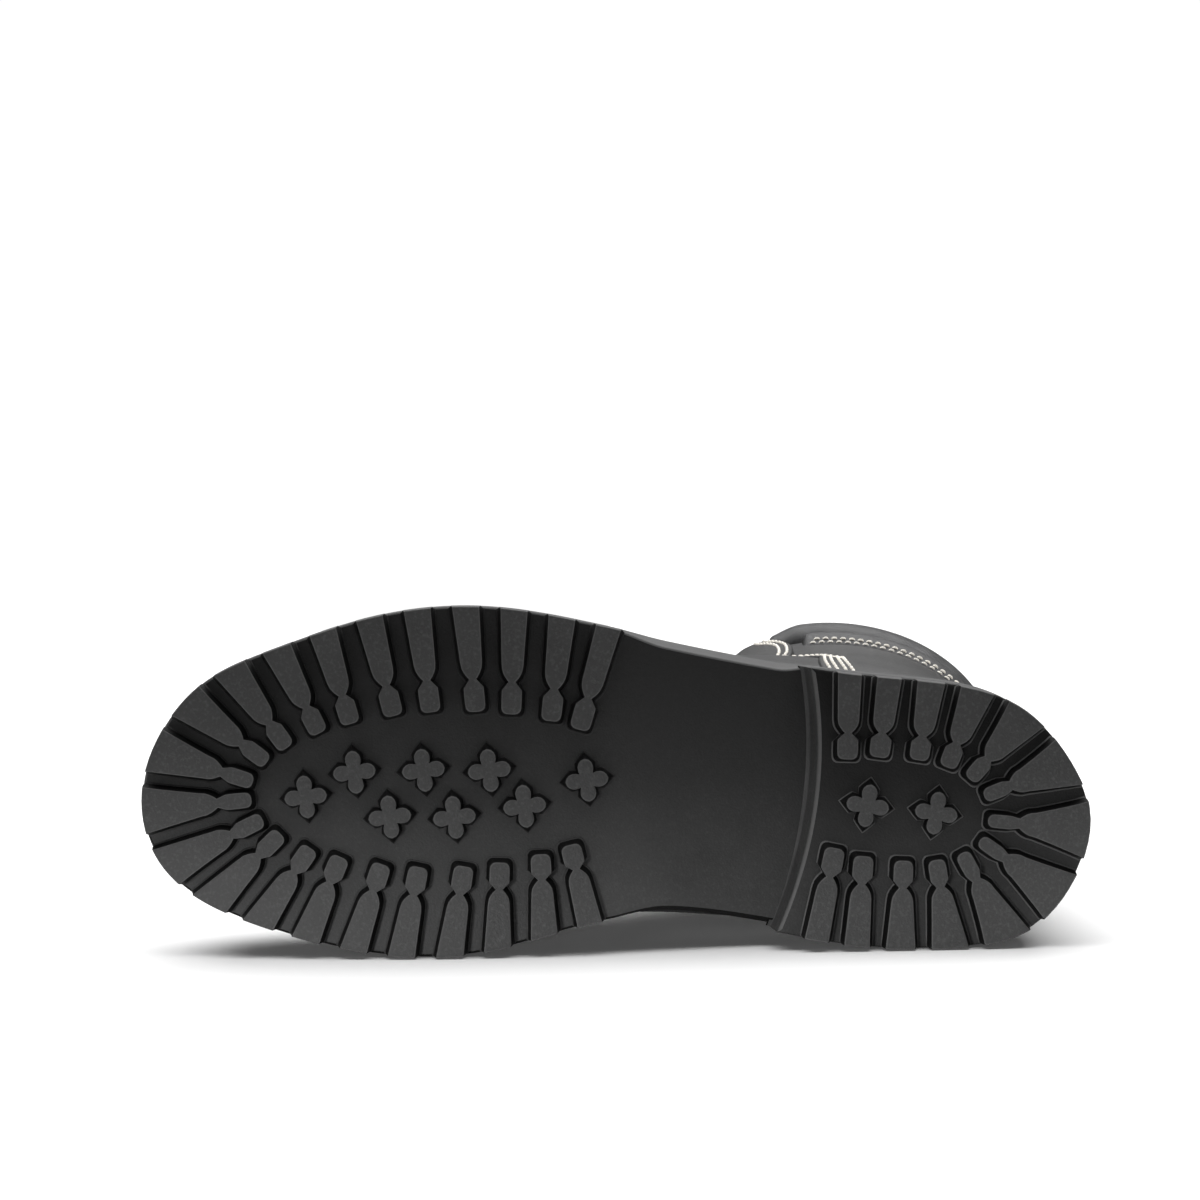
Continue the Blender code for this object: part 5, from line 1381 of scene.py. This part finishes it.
def eyelet_places(lateral):
    """u and across of a side's eyelets, evenly spaced up the facing."""
    fine = np.linspace(THROAT_ROW, TOP_ROW, EYELET_SAMPLES)
    line = last_surface(fine, crown_across(fine, throat_half(fine), lateral))
    length = lengths_from(line)
    stops = np.linspace(EYELET_FROM_END, length[-1] - EYELET_FROM_END, EYELET_PAIRS)
    u = np.interp(stops, length, fine)
    return u, from_throat(u, np.full((len(u), 1), EYELET_FROM_EDGE), lateral)[:, 0]


def turned_rings(centre, axis, profile, steps):
    """Rings of points of a turned shape: its profile at even angles round its axis."""
    angle = np.linspace(0, 2 * np.pi, steps + 1)[:, None]
    side = unit(np.cross(axis, (1.0, 0.0, 0.0)))
    radius, height = np.transpose(profile)
    return (centre + (radius * np.cos(angle))[..., None] * side
            + (radius * np.sin(angle))[..., None] * np.cross(axis, side)
            + height[:, None] * axis)


# Stoved enamel on brass: black, smooth, glossy, with tiny pits.
enamel, shader = new_look("black stoved enamel", Base_Color="#161616", Roughness=0.28,
                          Coat_Weight=0.4)
place = add_node(enamel, "TexCoord").outputs["Object"]
pits = add_node(enamel, "TexNoise", Vector=place, Scale=1800.0)
connect(enamel, shader,
        Normal=add_node(enamel, "Bump", Height=pits, Strength=0.15, Distance=0.0001))
# Inside of the hole: a near-black plug, painted shadow.
hole, _ = new_look("painted shadow in the eyelet hole", Base_Color="#0b0b0b", Roughness=0.9,
                   Specular_IOR_Level=0.1)
rings, holes, nodes = [], [], []
for name, lateral in BOTH_SIDES:
    for number, (u, across) in enumerate(zip(*eyelet_places(lateral)), 1):
        centre, axis = on_leather(u, across, FACING_TOP), outward(u, across)
        ring = turned_rings(centre, axis, EYELET_PROFILE, EYELET_SIDES)
        rings.append(swept(ring, closed=True))
        plug = turned_rings(centre, axis, HOLE_PROFILE, HOLE_SIDES)
        holes.append(swept(plug.transpose(1, 0, 2)))
        nodes.append(f"eyelet_{name}_{number}")
eyelets = make_piece("eyelet_rings", rings, [enamel])
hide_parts(*nodes)
make_piece("eyelet_holes", holes, [hole])


# ================================================================ lace
# Flat braided cord, black, in crossings over the tongue: up through an eyelet, over the
# facing, across and under the other one. Its ends stop inside the top eyelets.

LACE_WIDTH, LACE_THICKNESS = 5.0, 2.2
LACE_SQUARE = 0.75        # below 1 the cord's section is squarer than an ellipse
CROSS_LIFT, CROSS_SPREAD = 2.0, 0.45     # how the upper of two crossing laces rises
LACE_STEPS, LACE_POINTS = 56, 14         # rings of a run, points round a ring
# Way of a crossing. Columns: place (2 at the eyelet it leaves, 1 and -1 at the throat's
# edges, -2 at the next eyelet), height of its middle over the last, share of the way up.
CROSSING = (
    (2.0, 1.3, 0.0), (1.98, 3.2, 0.0), (1.84, 4.5, 0.01), (1.5, 3.9, 0.05), (1.2, 3.35, 0.10),
    (1.0, 2.9, 0.16), (0.75, 1.3, 0.27), (0.4, -0.9, 0.40), (0.0, -1.5, 0.54),
    (-0.4, -1.9, 0.68), (-0.75, -2.8, 0.82), (-1.0, -3.35, 0.92), (-1.4, -3.4, 1.0),
    (-1.8, -3.4, 1.0),
)
BOTTOM_BAR = ((1.8, -3.4, 0.0), (1.0, -3.3, 0.0), (0.6, -2.3, 0.0), (0.0, -1.5, 0.0),
              (-0.6, -2.3, 0.0), (-1.0, -3.3, 0.0), (-1.8, -3.4, 0.0))
LACE_END = ((2.2, -3.3, 0.0), (2.03, -2.0, 0.0), (2.0, 0.0, 0.0), (2.0, 2.9, 0.0))


def over_throat(u, place):
    """across at a place of the lace: inside the throat by side distance, and from its edge
    to the eyelets along the leather."""
    lateral = place >= 0
    inside = crown_across(u, throat_half(u) * np.minimum(np.abs(place), 1), lateral)
    eyelet = np.where(lateral, *(np.interp(u, *eyelet_places(value)) for value in (True, False)))
    return inside + (eyelet - inside) * np.maximum(np.abs(place) - 1, 0)


def lace_run(table, start, stop, side, lift=0.0):
    """Rings and pattern places of a run of lace after a table, from the row of u start to
    that of u stop, on a side (1 lateral, -1 medial)."""
    knots = np.arange(len(table))
    at = np.linspace(0, len(table) - 1, LACE_STEPS)
    place, height, share = (through_rows(knots, column, at) for column in np.transpose(table))
    height = height + lift * np.exp(-(place / CROSS_SPREAD) ** 2)
    place = place * side
    u = start + (stop - start) * share
    across = over_throat(u, place)
    spine, normal = on_last(u, across, height), outward(u, across)
    beside = unit(np.cross(normal, spine[-1] - spine[0]))
    up = unit(np.cross(np.gradient(spine, axis=0), beside))
    angle = np.linspace(0, 2 * np.pi, LACE_POINTS + 1)
    wide, high = (signed_power(value, LACE_SQUARE) for value in (np.cos(angle), np.sin(angle)))
    rings = (spine[:, None] + (LACE_WIDTH / 2 * wide)[:, None] * beside[:, None]
             + (LACE_THICKNESS / 2 * high)[:, None] * up[:, None])
    length = np.broadcast_to(lengths_from(spine)[:, None], rings.shape[:2])
    around = np.broadcast_to(LACE_WIDTH * wide / 2, rings.shape[:2])
    return rings, np.stack((length, around), -1)


# Braided polyester cord: strands of about a millimetre cross at a slant, each with a dull
# sheen along it, so that the flat cord glints in a fine herringbone. Their crests are painted
# lighter and the gaps between them darker, a painted highlight and shade on the braid's pattern.
braid, shader = new_look("braided black cord", Roughness=0.62, Sheen_Weight=0.25)
place = add_node(braid, "TexCoord").outputs["UV"]
mirrored = add_node(braid, "Mapping", Vector=place, Scale=(1.0, -1.0, 1.0))
strands = [add_node(braid, "TexWave", {"bands_direction": "DIAGONAL"}, Vector=vector,
                    Scale=0.26).outputs["Fac"] for vector in (place, mirrored)]
crossed = add_node(braid, "Math", {"operation": "MAXIMUM"}, Value=strands[0],
                   Value_001=strands[1])
shade = add_node(braid, "ValToRGB", {"stops": ((0.3, "#141414"), (0.9, "#2c2c2c"))}, Fac=crossed)
connect(braid, shader, Base_Color=shade,
        Normal=add_node(braid, "Bump", Height=crossed, Strength=0.8, Distance=0.0005))
levels = (eyelet_places(True)[0] + eyelet_places(False)[0]) / 2
runs = [lace_run(BOTTOM_BAR, levels[0], levels[0], 1)]
for k, (level, after) in enumerate(zip(levels, levels[1:])):
    for side in (1, -1):
        runs.append(lace_run(CROSSING, level, after, side, CROSS_LIFT * ((k + (side > 0)) % 2)))
for side in (1, -1):
    runs.append(lace_run(LACE_END, levels[-1], levels[-1], side))
lace = make_piece("lace_cord", [swept(rings) for rings, _ in runs], [braid],
                  patterns=[pattern for _, pattern in runs])
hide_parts("lace")


# ================================================================ studio
# A white table of opal acrylic, lit from below, under an even white surround. One large
# softbox hangs behind the boot and one over the floor in front, and a low narrow strip light
# grazes the sole from the toe's side. The camera looks almost squarely at the sole.

FLOOR = ((-2.2, -2.0), (2.2, -2.0), (2.2, 1.5), (-2.2, 1.5))   # corners, metres
CAMERA_AT = (0.1774, 0.1117, -1.300)     # in the boot's own frame, metres
YAW, PITCH = 0.8515, 1.9436              # from square to the sole, degrees
SENSOR, LENS = 36.0, 121.11              # mm
FAR_CLIP = 50.0
AIR_LIGHT, AIR_SEEN = 0.05, 1.02         # strength of the surround as light and in view
# Columns: name, place, aimed at, width and height, spread in degrees, watts.
SOFTBOXES = (
    ("overhead_softbox", (0.0, 1.10, 1.7), (0.0, 1.09, 0.0), (3.0, 2.2), 180, 70.0),
    ("floor_softbox", (0.0, -0.62, 1.7), (0.0, -0.63, 0.0), (3.0, 1.2), 180, 30.0),
    ("low_strip", (-0.60, -1.10, 0.03), (-0.14, -0.11, -0.012), (1.0, 0.06), 9, 0.24),
)


def add_object(name, data):
    """New object of some data in the scene."""
    item = bpy.data.objects.new(name, data)
    bpy.context.scene.collection.objects.link(item)
    return item


def aimed(back, up, at):
    """Matrix of a lamp or camera at a place, its -Z away from back and its Y near up."""
    right = unit(np.cross(up, back))
    turn = np.eye(4)
    turn[:3] = np.column_stack((right, np.cross(back, right), back, at))
    return Matrix(turn)


floor_mesh = bpy.data.meshes.new("studio_floor")
floor_mesh.from_pydata([(*corner, 0.0) for corner in FLOOR], [], [(0, 1, 2, 3)])
floor = add_object("studio_floor", floor_mesh)
# Matt opal acrylic lit softly from below, so that a black boot leaves hardly a shadow.
acrylic, _ = new_look("matt opal acrylic, lit from below", Roughness=0.9,
                      Base_Color="#f6f6f6", Specular_IOR_Level=0.2,
                      Emission_Color="#ffffff", Emission_Strength=0.04)
floor_mesh.materials.append(acrylic)

world = bpy.data.worlds.new("studio_air")
bpy.context.scene.world = world
world.use_nodes = True
seen = add_node(world, "LightPath").outputs["Is Camera Ray"]
connect(world, world.node_tree.nodes["Background"], Color="#ffffff",
        Strength=add_node(world, "MapRange", Value=seen, To_Min=AIR_LIGHT, To_Max=AIR_SEEN))

for name, at, target, (width, height), spread, watts in SOFTBOXES:
    lamp = bpy.data.lights.new(name, "AREA")
    lamp.energy, lamp.shape, lamp.spread = watts, "RECTANGLE", math.radians(spread)
    lamp.size, lamp.size_y = width, height
    item = add_object(name, lamp)
    item.matrix_world = aimed(unit(np.subtract(at, target)), (0.0, 0.0, 1.0), at)
    item.visible_camera = False

yaw, pitch = math.radians(YAW), math.radians(PITCH)
back = (math.sin(yaw) * math.cos(pitch), math.sin(pitch), -math.cos(yaw) * math.cos(pitch))
camera = add_object("studio_camera", bpy.data.cameras.new("studio_camera"))
camera.data.sensor_width, camera.data.lens, camera.data.clip_end = SENSOR, LENS, FAR_CLIP
camera.matrix_world = aimed(LIES @ back, LIES[:, 1], laid(np.array(CAMERA_AT) / MM))
bpy.context.scene.camera = camera
bpy.context.scene.view_settings.view_transform = "Standard"
